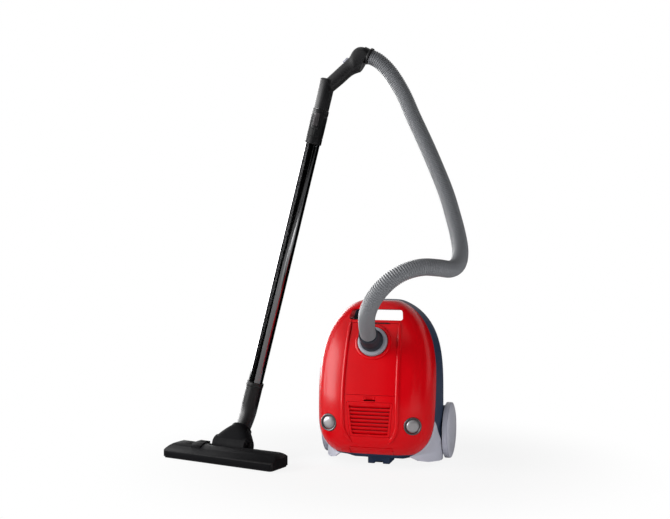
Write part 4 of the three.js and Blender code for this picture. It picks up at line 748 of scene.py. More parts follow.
# %% [markdown]
# ## The cover
# One side of the seam through the hollow form, with the carrying slot's walls let in before
# the slot is cut, windows for the lid and the grille, round seats for the two keys, and a
# shallow recess over the tray with a groove round it. The ridges are swept along the
# panel's sides on the form's skin, and a fine rolled edge finishes the seam.

# %% Cover tools
KEY_X, KEY_Z, KEY_TURN = 97, 107, 13


def skin_spot(x, z, rise=0.0):
    """A point on the cover's skin, raised along the form's normal."""
    spot = np.array([[x, face_y(x, z), z]])
    return Vector((spot + rise * form_normals(spot))[0]) * MM


def bead(spots, width, height, sides=14, taper=6):
    """A rounded bead along points on the skin, thin at both ends."""
    path = even_path(spots, 3 * MM)
    ways = mean_ways([b - a for a, b in zip(path, path[1:])])
    stations = []
    for k, (spot, way) in enumerate(zip(path, ways)):
        out = Vector(form_normals(np.array([spot[:]]) / MM)[0])
        from_ends = (k + 0.4) / taper, (len(path) - 1 - k + 0.4) / taper
        size = MM * math.sin(min(1, *from_ends) * math.pi / 2)
        stations.append(station(spot, way, way.cross(out), width * size, height * size))
    return smooth(swept("bead", stations, sides), 60)


def key_place(side):
    """The frame of a push key: Z points into the cover, which faces a little outwards."""
    turn = rotated(side * KEY_TURN, "Z") @ rotated(-90, "X")
    return at(point(side * KEY_X, face_y(KEY_X, KEY_Z), KEY_Z)) @ turn


def skin_layer(depth, low, high):
    """A layer of the form, from above its skin down to a depth, within a block."""
    return within(cut(egg(2), egg(-depth)), slab(low, high))


# %% Cover
slot_wall = within(slot_block(WALL), form, keep=True)
body_shell = cut(fused(shell, slot_wall), slot_block(0))
cover = copy_of(body_shell, "cover_smooth")
within(cover, slab((-FAR, -FAR, -FAR), (FAR, -SEAM_GAP, 2 * FAR), SEAM))
latch_y = face_y(0, LATCH_LOW)
catch_slot = (-13.4, -FAR, LATCH_LOW - 3.4), (13.4, latch_y + 16, LATCH_HIGH + 0.4)
cut(
    cover,
    window(panel_outline(WINDOW_GAP, LID_BOTTOM - WINDOW_GAP, PANEL_TOP + WINDOW_GAP)),
    window(grille_outline(0.4, 4)),
    slab(*catch_slot),
    skin_layer(1, (-49, -FAR, -20), (49, FACE_BACK, 53)),
    skin_layer(2.2, (-49.8, -FAR, 52.6), (49.8, FACE_BACK, 54.6)),
    skin_layer(2.2, (-50.8, -FAR, 0), (-48.4, FACE_BACK, 50)),
    skin_layer(2.2, (48.4, -FAR, 0), (50.8, FACE_BACK, 50)),
    slab((-FAR, -FAR, -FAR), (FAR, FAR, TRAY_TOP + 0.4)),
    *[rod(20.4, -40, 8, key_place(side)) for side in SIDES],
)
true_shading(cover)
trim = []
for side in SIDES:
    heights = np.linspace(PANEL_TOP + 5, RIDGE_FOOT, 60)
    ridge = [skin_spot(side * panel_side(z, 3.6), z, 0.2) for z in heights]
    trim.append(bead(ridge, 4.4, 3.0))
for side in SIDES:
    edge = []
    for z in np.linspace(TRAY_TOP + 1.5, BODY_TOP - 3, 90):
        y = seam_y(z) - 0.9
        edge.append(point(side * (body_x(y, z) - 0.35), y, z))
    trim.append(bead(edge, 0.75, 0.6, 8))
for side in SIDES:
    sleeve = [(15.3, 1.6), (20, 1.6), (20, 24), (15.3, 24)]
    trim.append(smooth(turned("key_sleeve", sleeve, key_place(side), 48)))
joined(cover, *trim)
stands_for(cover, "canister", "top_cover", "red_gloss")

# %% [markdown]
# ## Lid, catch and grille
# They are cut from the same form, so they lie flush. The lid carries a raised rim round
# the hose inlet. The grille's blades lean steeply, so that little of the dark room behind
# them shows.

# %% Lid
INLET_Z, COLLAR = 290, 34
inlet_out = Vector(joints["inlet_swivel"]["axis"]).normalized()
inlet_out = inlet_out if inlet_out.y < 0 else -inlet_out
inlet_spot = point(0, face_y(0, INLET_Z), INLET_Z)
INLET = facing(inlet_spot, inlet_out)
lid = cut(copy_of(form, "lid_smooth"), form_inside, keep=True)
lid_outline = panel_outline(-PIECE_GAP, LID_BOTTOM + PIECE_GAP, PANEL_TOP - PIECE_GAP)
within(lid, window(lid_outline))
true_shading(cut(lid, rod(COLLAR + 0.3, -40, 40, INLET)))
rim_profile = (
    (0.4, -6), (8, -6), (8, 0.2), (7.2, 2), (5.6, 3.4), (3.6, 4), (1.4, 3.6), (0.4, 2.4)
)
rim = turned("inlet_rim", [(COLLAR + r, h) for r, h in rim_profile], INLET, 80)
within(rim, window(panel_outline(-PIECE_GAP, LID_BOTTOM, PANEL_TOP - PIECE_GAP)))
joined(lid, smooth(rim, 40))
stands_for(lid, "lid", "dust_cover", "red_gloss")

# %% Catch
catch = copy_of(form, "catch_smooth")
within(catch, slab((-13, -FAR, LATCH_LOW), (13, latch_y + 14, LATCH_HIGH)))
dip = facing(point(0, latch_y - 0.6, LATCH_HIGH - 1), Vector((0, 1, 0.4)))
cut(catch, rod(9, -30, 1.6, dip, 32))
fused(catch, slab((-13, latch_y + 10, LATCH_LOW - 3), (13, latch_y + 14, LATCH_LOW)))
stands_for(softened(catch, 0.5), "lid_catch", "lid_latch", "red_gloss")

# %% Grille
grille = cut(copy_of(form, "grille_smooth"), egg(-5))
within(grille, window(grille_outline(-PIECE_GAP, 4)))
true_shading(cut(grille, window(grille_outline(-GRILLE_FRAME, 3))))
BLADE_HALF_DEPTH, BLADE_HALF_THICK, BLADE_IN = 0.0050, 0.0012, Vector((0, 0.0032, 0))
blade_section = Matrix(
    ((0, 0, 1, 0), (BLADE_HALF_DEPTH, 0, 0, 0), (0, BLADE_HALF_THICK, 0, 0), (0, 0, 0, 1))
)
blade_turn = rotated(-57, "X") @ blade_section
pitch = (GRILLE_TOP - GRILLE_BOTTOM - 2 * GRILLE_FRAME) / LOUVRES
blades = []
for k in range(LOUVRES):
    z = GRILLE_BOTTOM + GRILLE_FRAME + pitch * (k + 0.5)
    taper = GRILLE_TAPER * (1 - (z - GRILLE_BOTTOM) / (GRILLE_TOP - GRILLE_BOTTOM))
    half = GRILLE_HALF - taper - GRILLE_FRAME + 1
    spots = [skin_spot(half * t, z, -0.9) + BLADE_IN for t in np.linspace(-1, 1, 15)]
    stations = [at(spot) @ blade_turn for spot in spots]
    blades.append(smooth(swept("blade", stations, 10), 70))
joined(grille, *blades)
stands_for(grille, "grille", "exhaust_grille", "red_gloss")

# %% [markdown]
# ## The chassis
# The other side of the seam through the same shell, with a tray and a sole plate, the
# notched foot, a boss for the castor, two skid ribs, and a hub behind each wheel.

# %% Chassis
castor_spot = Vector(joints["castor_swivel_turn"]["pos_m"])
castor_axle = Vector(joints["castor_wheel_spin"]["pos_m"])
CASTOR = facing(castor_spot, TO_BACK)
OUTLET = facing(point(60, back_y(60, 150), 150), TO_BACK)
wheel_low, wheel_high = [np.array(c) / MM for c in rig.box("wheel_right")]
_, WHEEL_Y, WHEEL_Z = (wheel_low + wheel_high) / 2
WHEEL_R = (wheel_high[2] - wheel_low[2]) / 2
WHEEL = {side: facing(point(0, WHEEL_Y, WHEEL_Z), Vector((side, 0, 0))) for side in SIDES}

chassis = copy_of(body_shell, "chassis_smooth")
within(chassis, slab((-FAR, SEAM_GAP, -FAR), (FAR, FAR, 2 * FAR), SEAM))
cut(
    chassis, rod(6.4, -30, 20, CASTOR), rod(11.3, -30, 20, OUTLET),
    slab((-FAR, -FAR, -FAR), (FAR, -25, TRAY_LOW)),
)
true_shading(chassis)
tray = within(egg(-0.8), slab((-FAR, -FAR, TRAY_LOW), (FAR, -10, TRAY_TOP)))
turns = np.linspace(0, 2 * math.pi, 97)[:-1]
sole_outline = [(100 * math.cos(a), -(20 + 62 * math.sin(a))) for a in turns]
sole = pushed("sole", sole_outline, 17, 22, UPRIGHT)
foot_outline = rounded([(-26, 28), (26, 28), (26, -28), (-26, -28)], 3)
foot = pushed("foot", foot_outline, 0, TRAY_LOW, UPRIGHT)
cut(foot, slab((-10, -FAR, -1), (10, -14, 6)))
boss_profile = [(6.4, -8), (14, -8), (14, -0.6), (13.4, 0), (6.4, 0)]
boss = turned("castor_boss", boss_profile, CASTOR)
parts = [softened(sole, 0.8), softened(foot, 1.2), softened(tray, 0.5), smooth(boss)]
rib_side = [(back_y(70, z) - 1, z) for z in np.linspace(136, 234, 12)]
rib_side += [(BACK_DEPTH + 2, 231), (BACK_DEPTH + 2, 139)]
for x in (-70, 70):
    parts.append(softened(pushed("skid_rib", rib_side, -x - 4, -x + 4, ACROSS), 1.4, 3))
hub_profile = [
    (0, 88), (58, 88), (58, 134), (57, 136.6), (55, 137.4), (12, 137.4), (12, 139.4), (0, 139.4)
]
parts += [smooth(turned("wheel_hub", hub_profile, WHEEL[side], 72)) for side in SIDES]
joined(chassis, *parts)
stands_for(chassis, "canister", "chassis", "chassis_blue")

# %% [markdown]
# ## Side skirts
# A thin moulding beside each wheel. Its plan follows the body at the seam and flares out to
# the wheel, so it is lofted from plan sections; its side outline is cut through that, and
# the same flare, shifted inwards by the wall, hollows it.

# %% Skirts
SKIRT_FRONT, SKIRT_BACK = -80, 55
SKIRT_EDGE = [(-28, 91), (0, 72), (26, 53), (42, 41), (50, 32)]
CLOSED_FOOT = [(50, 4), (35, 4), (-20, 9), (-50, 17)]
OPEN_FOOT = [(50, -20), (seam_y(28) + 1, -20)]


def skirt_block(name, side, grow, foot):
    """The flared plan, lofted upwards, and cut to the side outline."""
    rings = []
    for z in np.linspace(-30, 118, 38):
        ring = [point(side * 20, SKIRT_BACK, z), point(side * 20, SKIRT_FRONT, z)]
        for y in np.linspace(SKIRT_FRONT, SKIRT_BACK, 46):
            t = min(1, max(0, (y - SEAM_FOOT_Y) / (35 - SEAM_FOOT_Y)))
            near = body_x(y, max(z, 30)) + 1.6
            out = near + (HALF_WIDTH - near) * t * t * (3 - 2 * t) + grow
            ring.append(point(side * out, y, z))
        rings.append(ring)
    seam = [(seam_y(z) + 1, z) for z in (28, 109)]
    outline = [(y + grow, z + grow) for y, z in (*seam, *SKIRT_EDGE, *foot)]
    return within(lofted(name, rings), pushed("skirt_edge", outline, -FAR, FAR, ACROSS))


for side, label in SIDES.items():
    skirt = skirt_block("skirt_" + label, side, 0, CLOSED_FOOT)
    cut(skirt, skirt_block("skirt_hollow", side, -WALL, OPEN_FOOT), egg(0.3))
    stands_for(smooth(skirt, 40), "canister", "wheel_arch_" + label, "pale_grey")

# %% [markdown]
# ## Wheels, keys, collar and castor
# Nearly all turned pieces: one closed outline each, spun once round its axis.

# %% Wheels
near, far, r = wheel_low[0] - 5, wheel_high[0] + 1.5, WHEEL_R
wheel_profile = [
    (6.3, near + 1), (12, near + 1), (12, near + 7), (r - 8, near + 4.5), (r - 4, near + 2),
    (r - 4, near), (r - 0.8, near), (r - 0.2, near + 0.3), (r, near + 1), (r, far - 8.2),
    (r - 0.3, far - 7.6), (r - 1.6, far - 7.3), (r - 1.7, far - 6.4), (r - 0.7, far - 6.1),
    (r - 0.6, far - 5.4), (r - 2.6, far - 4.4), (r - 5.5, far - 3.4), (r - 9, far - 2.6),
    (r - 20, far - 1.6), (r * 0.5, far - 0.7), (r * 0.25, far - 0.15), (0, far),
    (0, far - 3), (6.3, far - 3),
]
for side, label in SIDES.items():
    wheel = turned("wheel_" + label + "_smooth", wheel_profile, WHEEL[side], 112)
    stands_for(smooth(wheel, 24), "wheel_" + label[0], "wheel_" + label, "pale_grey")

# %% Keys and bezels
bezel_profile = [
    (15.6, 1.2), (19.9, 1.2), (19.9, -1.2), (19.6, -2.0), (18.9, -2.6), (18.1, -2.7),
    (17, -2.4), (16.2, -1.6), (15.6, -0.4),
]
key_profile = [
    (0, -3.9), (6, -3.8), (8.6, -3.6), (10.2, -3.2), (12, -2.4), (13.6, -1.3), (14.6, 0),
    (14.9, 1.4), (13.4, 1.5), (13.4, 20), (8, 20), (8, 3), (0, 3),
]
bezels = []
for side, key_for in ((-1, "power"), (1, "rewind")):
    label = SIDES[side]
    bezel = smooth(turned("bezel_" + label, bezel_profile, key_place(side), 72), 60)
    bezels.append(stands_for(bezel, "canister", "button_bezel_" + label, "button_metal"))
    key = smooth(turned("key_" + label, key_profile, key_place(side), 64), 50)
    stands_for(key, key_for + "_key", key_for + "_button", "button_metal")

# %% Collar
collar = turned("collar_smooth", [
    (21, -14), (28, -14), (28, -1.7), (34, -1.7), (34, 6.8), (33.6, 8.4), (32.6, 9.8),
    (31, 10.7), (29, 11), (25, 11), (23.4, 10.6), (22, 9.6), (21.2, 8), (21, 6),
], INLET, 88)
stands_for(smooth(collar, 40), "lid", "inlet_collar", "pale_grey")

# %% Castor
WHEEL_ROOM = 11.5 + 0.6
face, swivel_z = castor_spot.y / MM, castor_spot.z / MM
axle_y, axle_z = castor_axle.y / MM, castor_axle.z / MM
plate = axle_y - face - WHEEL_ROOM
AXLE = facing(castor_axle, Vector((1, 0, 0)))
fork = turned("castor_fork_smooth", [
    (0, -18), (5.6, -18), (6, -17.4), (6, 0.3), (13.2, 0.3), (14, 1), (14, plate - 1),
    (13, plate), (0, plate),
], CASTOR)
cheek = [
    (face + 1.4, axle_z - 2),
    *[(axle_y + 6 * math.cos(a), axle_z + 6 * math.sin(a))
      for a in np.linspace(-math.pi / 2, math.pi / 2.6, 14)],
    (face + plate + 1, swivel_z + 4), (face + 1.4, swivel_z + 4),
]
CHEEK_IN, CHEEK_THICK = 8, 3
for low in (CHEEK_IN, -CHEEK_IN - CHEEK_THICK):
    fused(fork, pushed("castor_cheek", cheek, low, low + CHEEK_THICK, ACROSS))
cut(fork, rod(2.8, -40, 40, AXLE, 24))
stands_for(softened(fork, 0.6), "castor_swivel", "castor_fork", "chassis_blue")
tread = [(9.4, -7), (10.8, -6.4), (11.5, -5), (11.5, -1.2), (11, -0.7)]
tread += [(r, -h) for r, h in reversed(tread)]
castor = turned("castor_wheel_smooth", [(2.8, -7), *tread, (2.8, 7)], AXLE, 48)
stands_for(smooth(castor, 40), "castor_roll", "castor_wheel", "pale_grey")

# %% Cord outlet
outlet = turned("outlet_bushing", [
    (4.4, -12), (11, -12), (11, 0.5), (13.4, 0.6), (14, 1.3), (13.6, 2.4), (12, 3.3),
    (9, 3.9), (6.6, 3.8), (5, 3), (4.2, 1.6),
], OUTLET, 48)
stands_for(smooth(outlet, 50), "canister", "cord_outlet", "black_plastic")

# %% [markdown]
# ## Dust bag
# A paper bag, part filled, that hangs behind the inlet. It is a lofted shell: rings that
# swell and sag between the holder and the back, with soft pleats along its sides, and one
# round of subdivision to take the facets out.

# %% Bag
BAG_SIDES, PLEATS = 44, 11
bag_low, bag_high = [np.array(c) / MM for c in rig.box("dust_bag")]
bag_middle, bag_reach = (bag_low + bag_high) / 2, (bag_high - bag_low) / 2
bag_rings = []
for t in np.linspace(0, 1, 15):
    fat = math.sqrt(max(0.12, 1 - abs(2 * t - 1) ** 4)) * 0.97
    swollen = math.sin(math.pi * t)
    ring = []
    for j, (c, s) in enumerate(circle(BAG_SIDES)):
        pleat = math.cos(2 * math.pi * j * PLEATS / BAG_SIDES + 3 * t)
        size = fat * (1 - 0.03 * (0.5 + 0.5 * pleat) * swollen)
        narrow = 1 - 0.32 * max(0, s)
        sag = -4 * swollen * (0.5 + 0.5 * s)
        ring.append(point(
            squared(c, 0.7) * bag_reach[0] * narrow * size,
            bag_low[1] + (bag_high[1] - bag_low[1]) * t,
            bag_middle[2] + squared(s, 0.7) * bag_reach[2] * size + sag,
        ))
    bag_rings.append(ring)
bag = modified(lofted("dust_bag_soft", bag_rings), "SUBSURF", levels=1, render_levels=1)
stands_for(smooth(bag, 70), "canister", "dust_bag", "bag_paper")
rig.padded(bag, fill=0.4)

# %% [markdown]
# ## Elbow and cuff of the hose
# The elbow is a short black bend: a snap collar in the inlet, then a swept tube, and a
# grip where it holds the hose. The cuff at the other end turns in the handle.

# %% Elbow
hose_top, hose_foot = HOSE_ROUTE[0], HOSE_ROUTE[-1]
top_way = (hose_line[0] - hose_line[1]).normalized()
foot_way = (hose_line[-1] - hose_line[-2]).normalized()
elbow_start = inlet_spot + inlet_out * 0.013
elbow_points = [
    elbow_start, elbow_start + inlet_out * 0.014,
    hose_foot + foot_way * 0.0123, hose_foot + foot_way * 0.0003,
]
elbow = pipe("elbow_bend", elbow_points, [23, 22.5, 21, 20.5], Vector((1, 0, 0)), 44, 8)
shoulder = [
    (0, -20), (18, -20), (18, 11.3), (26, 11.3), (26.4, 12.4), (26, 14.6), (24.6, 16),
    (22.5, 16.6), (0, 16.6),
]
hold = [(0, 0.3), (20.6, 0.3), (21.2, 1.2), (21.2, 7), (20.4, 8), (0, 8)]
fused(elbow, turned("elbow_shoulder", shoulder, INLET))
fused(elbow, turned("hose_hold", hold, facing(hose_foot, foot_way), 48))
stands_for(smooth(elbow), "hose_set", "hose_elbow", "black_plastic")

# %% Cuff
cuff = turned("cuff_smooth", [
    (0, 0.3), (18.4, 0.3), (19.6, 0.8), (20, 1.8), (20, 5.6), (19.5, 6.6), (18.6, 7),
    (16, 7), (16, 21), (0, 21),
], facing(hose_top, top_way), 56)
stands_for(smooth(cuff), "hose_set", "hose_cuff", "black_plastic")

# %% [markdown]
# ## The wand
# Its frame runs up the tube axis: the telescope joint gives the direction, the lock
# button's joint the side, and the outer tube's box the middle.

# %% Wand frame
TUBE_MIDDLE = 391.15
tube_axis = -Vector(joints["telescope"]["axis"])
wand_y = Vector(joints["tube_lock_press"]["axis"])
wand_x = wand_y.cross(tube_axis).normalized()
tube_low, tube_high = [Vector(c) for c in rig.box("outer_tube")]
wand_foot = (tube_low + tube_high) / 2 - tube_axis * TUBE_MIDDLE * MM
WAND = at(wand_foot) @ axes(wand_x, wand_y, tube_axis)


def wand_point(x, y, z):
    return WAND @ point(x, y, z)


print("wand foot", [round(c, 3) for c in wand_point(0, 0, 0)])

# %% Tubes
inner_profile = [(14.8, 290), (16, 290), (16, 832), (14.8, 832)]
outer_tube = smooth(turned("outer_tube_smooth", [
    (16.3, 68.3), (17.3, 68.3), (17.5, 69), (17.5, 713.6), (17.1, 714), (16.3, 714)
], WAND, 96), 30)
stands_for(outer_tube, "lower_tube", "outer_tube", "chrome_tube")
inner_tube = smooth(turned("inner_tube_smooth", inner_profile, WAND, 72), 30)
stands_for(inner_tube, "grip", "inner_tube", "chrome_tube")

# %% Lock collar
lock_collar = turned("lock_collar", [
    (17.8, 682), (19, 682), (19.8, 683), (20, 685), (20, 696), (19.4, 697), (19.4, 699),
    (20, 700), (20, 748), (19.4, 749), (19.4, 751), (20, 752), (20, 761), (19.8, 763),
    (19, 764), (16.3, 764), (16.3, 714.3), (17.8, 714.3),
], WAND, 72)
pad_rows = ((-24, 5, 1), (-22, 8, 3), (-18, 9, 4), (18, 9, 4), (22, 8, 3), (24, 5, 1))
pad_stations = []
for rise, half, depth in pad_rows:
    section = Matrix.Diagonal((half * MM, depth * MM, 1, 1))
    spot = at(wand_point(0, -19, 739 + rise))
    pad_stations.append(spot @ WAND.to_3x3().to_4x4() @ section)
pad = cut(swept("lock_pad", pad_stations, 28), rod(18.6, 600, 800, WAND, 48))
cut(fused(lock_collar, pad), slab((-6.3, -FAR, 723.7), (6.3, -16.6, 754.3), WAND))
stands_for(smooth(lock_collar, 30), "lower_tube", "tube_collar", "black_plastic")
button = softened(slab((-6, -24.6, 724), (6, -19.4, 754), WAND, "lock_button"), 1.2, 3)
stands_for(button, "tube_lock", "tube_lock_button", "button_metal")

# %% [markdown]
# ## Handle
# The sleeve is a plain turned socket. The grip is lofted through stations that give the
# places of its top and underside, and swells into a hood over the hose's swivel. A flat
# track is cut in its top for the suction slider.

# %% Handle
GRIP_STATIONS = [
    (-3.8, 838, 18.8, 813), (13.2, 862.3, 37.5, 837.3), (26, 881, 50, 855),
    (36, 895, 57, 862), (43, 915, 68, 869), (50, 923.5, 73, 871.5), (58, 927, 79, 873),
    (68, 927.5, 84, 874.5), (84, 920, 92, 878),
]
GRIP_ROUND, GRIP_HALF, HOOD_SWELL = 0.82, 16, 3
tops = smooth_path([Vector((x, 0, z)) for x, z, _, _ in GRIP_STATIONS], 5)
lows = smooth_path([Vector((x, 0, z)) for _, _, x, z in GRIP_STATIONS], 5)
grip_rings = []
for top, low in zip(tops, lows):
    middle, half = (top + low) / 2, (top - low) / 2
    hood = min(1, max(0, (half.length - 16) / 8))
    ring = []
    for c, s in circle(44):
        spot = middle + half * squared(c, GRIP_ROUND)
        spot.y = squared(s, GRIP_ROUND) * (GRIP_HALF + HOOD_SWELL * hood)
        ring.append(WAND @ (spot * MM))
    grip_rings.append(ring)
handle = lofted("handle_smooth", grip_rings)
fused(handle, turned("sleeve", [
    (0, 764.6), (18, 764.6), (18.5, 765), (18.7, 766), (18.7, 832), (18.3, 834.4),
    (17.2, 836.4), (15.4, 837.7), (13.6, 838), (0, 838),
], WAND, 72))
SWIVEL = facing(hose_top + top_way * 0.0073, -top_way)
slide_way = Vector((0.573, 0, 0.819)).normalized()
slide_out = Vector((-slide_way.z, 0, slide_way.x))
slide_turn = axes(slide_way, slide_out.cross(slide_way), slide_out)
SLIDE = WAND @ at(point(31.5, 0, 888)) @ slide_turn
cut(
    handle, slab((-60, -60, 0), (60, 60, 60), SWIVEL), rod(16.4, -15, 3, SWIVEL, 56),
    rod(16.4, 700, 834, WAND, 56), slab((-18, -7.4, -3), (11, 7.4, 60), SLIDE),
)
stands_for(smooth(handle, 38), "grip", "handle", "black_plastic")

# %% Slider
slider = softened(slab((-8, -7, -2.7), (8, 7, 3.4), SLIDE, "slider_plate"), 1.6)
for x in (-4.4, 0, 4.4):
    joined(slider, softened(slab((x - 0.9, -6, 3), (x + 0.9, 6, 4.4), SLIDE), 0.5))
stands_for(slider, "slider", "suction_slider", "pale_grey")

# %% [markdown]
# ## Neck and yoke
# The neck is one swept tube with a bend. The yoke turns on the nozzle and narrows from
# its wide drum to the round collar that holds the neck.

# %% Neck
neck_pivot = Vector(joints["neck_swivel"]["pos_m"])
neck_way = Vector(joints["neck_swivel"]["axis"]).normalized()
NECK = facing(neck_pivot, neck_way)
neck_reach = (wand_point(0, 0, 0) - neck_pivot).length
neck_points = [neck_pivot + neck_way * reach for reach in (0.027, 0.038, neck_reach - 0.016)]
neck_points += [wand_point(0, 0, z) for z in (20, 49, 76, 96)]
neck_sizes = [19, 19, 19, 19.5, 20, 20, 20]
neck = pipe("neck_smooth", neck_points, neck_sizes, Vector((0.9, -0.3, 0)), 48, 7)
lip = [(0, 88), (20.2, 88), (20.7, 89), (20.7, 96.6), (20.2, 97.8), (0, 97.8)]
cut(fused(neck, turned("neck_lip", lip, WAND)), rod(17.8, 68.3, 120, WAND))
stands_for(smooth(neck), "lower_tube", "neck_elbow", "black_plastic")

# %% Nozzle frame
PIVOT_BACK, PIVOT_HEIGHT = 32 * MM, 35 * MM
noz_u = Vector(joints["nozzle_tilt"]["axis"]).normalized()
noz_b = UP.cross(noz_u)
noz_foot = neck_pivot - noz_b * PIVOT_BACK - UP * PIVOT_HEIGHT
NOZZLE = at(noz_foot) @ axes(noz_u, noz_b, UP)
PIVOT = facing(neck_pivot, noz_u)
yoke_back = neck_way.cross(noz_u).normalized()
print("nozzle centre", [round(c, 3) for c in NOZZLE.translation])

# %% Yoke
yoke_rows = [  # height, half-width, half-depth and squareness
    (2, 46, 22, 6), (14, 45, 23, 4.5), (25, 40, 24, 3.4), (36, 32, 25, 2.6),
    (43, 26.5, 25, 2.1), (48, 25, 25, 2),
]
yoke_rings = []
for rise, half, depth, square in smooth_path([Vector(row) for row in yoke_rows], 5):
    ring = []
    for c, s in circle(56):
        across = noz_u * (squared(c, 2 / square) * half * MM)
        ahead = yoke_back * (squared(s, 2 / square) * depth * MM)
        ring.append(neck_pivot + neck_way * rise * MM + across + ahead)
    yoke_rings.append(ring)
yoke = lofted("yoke_smooth", yoke_rings)
drum = turned("drum", [(0, -46), (21, -46), (22, -45), (22, 45), (21, 46), (0, 46)], PIVOT, 72)
cut(fused(yoke, drum, rod(5, -51, 51, PIVOT, 32)), rod(19.3, 25.7, 60, NECK))
stands_for(smooth(yoke), "yoke", "neck_yoke", "black_plastic")

# %% [markdown]
# ## Floor nozzle
# A moulded hood: its side profile pushed along its length, trimmed by its plan and by the
# slope of its ends, and hollowed by the same three outlines inset by the wall. Every edge
# is then rounded.

# %% Nozzle outlines
HALF_LENGTH, HALF_DEPTH, FRONT_HIGH, BACK_HIGH, SHELL_LOW = 156, 38, 19, 37, 5.3
ROLLER_X, ROLLER_Y, ROLLER_Z = 104, 23, 8


def bowed(a, b, c, count=8):
    """Points of a quadratic curve, without its start."""
    a, b, c = Vector(a), Vector(b), Vector(c)
    steps = [k / count for k in range(1, count + 1)]
    return [tuple((1 - t) ** 2 * a + 2 * t * (1 - t) * b + t * t * c) for t in steps]


def nozzle_profile(inset, low):
    half, front, back = HALF_DEPTH - inset, FRONT_HIGH - inset, BACK_HIGH - inset
    lip = (-half, front - 4), (-half, front), (-half + 5, front + 1)
    slope = lip[-1], (-half + 26, front + 9), (-8, back), (8, back)
    a, b, c, d = [Vector(p) for p in slope]
    outline = [(-half, low), lip[0], *bowed(*lip, 5)]
    for k in range(1, 17):
        t = k / 16
        bend = 3 * t * (1 - t) ** 2 * b + 3 * t * t * (1 - t) * c
        outline.append(tuple((1 - t) ** 3 * a + bend + t**3 * d))
    rear = (half - 22, back - 1)
    return [*outline, rear, *bowed(rear, (half - 6, back - 2), (half, low + 8), 12), (half, low)]


def nozzle_plan(inset):
    a, b = HALF_LENGTH - inset, HALF_DEPTH - inset
    right = [(a - 7, b), *bowed((a - 7, b), (a - 2, b), (a, b - 7)), (a, 14 - b)]
    return mirrored([*right, *bowed((a, 14 - b), (a, -b), (a - 14, -b))])


def end_slope(inset):
    half, low, high = HALF_LENGTH - inset, FRONT_HIGH + 4 - inset, BACK_HIGH - inset
    top = bowed((half, low), (half - 6, high - 2), (half - 34, high + 1), 10)
    return mirrored([(half, 2), (half, low), *top])


def nozzle_block(inset, low, name="nozzle_block"):
    length = HALF_LENGTH - inset
    block = pushed(name, nozzle_profile(inset, low), -length, length, ACROSS)
    within(block, pushed("plan", nozzle_plan(inset), 0, 80, UPRIGHT))
    within(block, pushed("slope", end_slope(inset), -80, 80))
    block.data.transform(NOZZLE)
    return block


# %% Nozzle shell
nozzle_shell = nozzle_block(0, SHELL_LOW, "nozzle_shell_smooth")
cut(nozzle_shell, nozzle_block(3, SHELL_LOW - 2))
cradle = slab((-54, 4, SHELL_LOW), (54, 58, 39), NOZZLE)
fused(nozzle_shell, within(cradle, nozzle_block(0.5, SHELL_LOW)))
cut(
    nozzle_shell, rod(22.6, -46.3, 46.3, PIVOT, 72),
    slab((-46.6, 2, 33), (46.6, 43, 90), NOZZLE), slab((-46.6, 32, 15), (46.6, 43, 90), NOZZLE),
)
cheek = [(0, 47), (9, 47), (10, 48), (10, 53), (9, 54), (0, 54)]
for side in SIDES:
    fused(nozzle_shell, turned("cheek", cheek, facing(neck_pivot, noz_u * side), 48))
    x = side * ROLLER_X
    cut(nozzle_shell, slab((x - 6, 14, -1), (x + 6, 32, 18), NOZZLE))
cut(
    nozzle_shell, rod(5.3, -52, 52, PIVOT, 32),
    slab((-90.6, -14.8, 12), (-61.4, 28.4, 90), NOZZLE),
    slab((-89.5, 20.3, -1), (89.5, 27.7, 15.5), NOZZLE),
)
softened(nozzle_shell, 0.9, 2, 38)
stands_for(nozzle_shell, "nozzle", "nozzle_shell", "black_plastic")

# %% Pedal
pedal = softened(pushed("pedal_smooth", [
    (-11, 22), (24, 27), (27, 30), (27, 39.5), (8, 39.5),
    *bowed((8, 39.5), (-2, 38.8), (-13, 33.1)), (-14, 30), (-14, 25),
], 62, 90, NOZZLE @ ACROSS), 1.2, 3)
for y in (10, 14, 18, 22):
    joined(pedal, softened(slab((-88, y, 39.2), (-64, y + 1.6, 40.1), NOZZLE), 0.4))
stands_for(pedal, "pedal", "nozzle_pedal", "black_plastic")

# %% [markdown]
# ## Brushes and rollers
# A bristle row is a strip with tufts in it. One tuft is modelled with few faces, then
# copied along two staggered lines.

# %% Brushes
TUFT_STEP = 4
tuft = turned("tuft", [(0, 0.3), (1.3, 0.3), (1.1, 5), (0, 5)], Matrix(), 6)
for label, y, half in (("front", -26, 120), ("rear", 24, 88)):
    name = "bristles_" + label + "_tufted"
    strip = softened(slab((-half, y - 2.9, 4.6), (half, y + 2.9, 8), NOZZLE, name), 0.4)
    tufts = []
    for k in range(2 * half // TUFT_STEP):
        for row in (-1.4, 1.4):
            spot = point(-half + 2 + TUFT_STEP * k + row / 2, y + row, 0)
            one = copy_of(tuft, "tuft_copy")
            one.data.transform(NOZZLE @ at(spot))
            tufts.append(one)
    joined(strip, *tufts)
    stands_for(strip, "bristles_" + label, "brush_" + label, "bristle")
bpy.data.objects.remove(tuft)

# %% Rollers
roller_profile = [
    (0, -5), (6.6, -5), (7.6, -4.6), (8, -3.6), (8, 3.6), (7.6, 4.6), (6.6, 5), (1.5, 5),
    (1.5, 7.6), (0, 7.6),
]
for side, label in SIDES.items():
    spot = NOZZLE @ at(point(side * ROLLER_X, ROLLER_Y, ROLLER_Z))
    place = spot @ rotated(90, "Y")
    roller = smooth(turned("roller_" + label + "_smooth", roller_profile, place, 40), 40)
    stands_for(roller, "roller_" + label[0], "roller_" + label, "pale_grey")

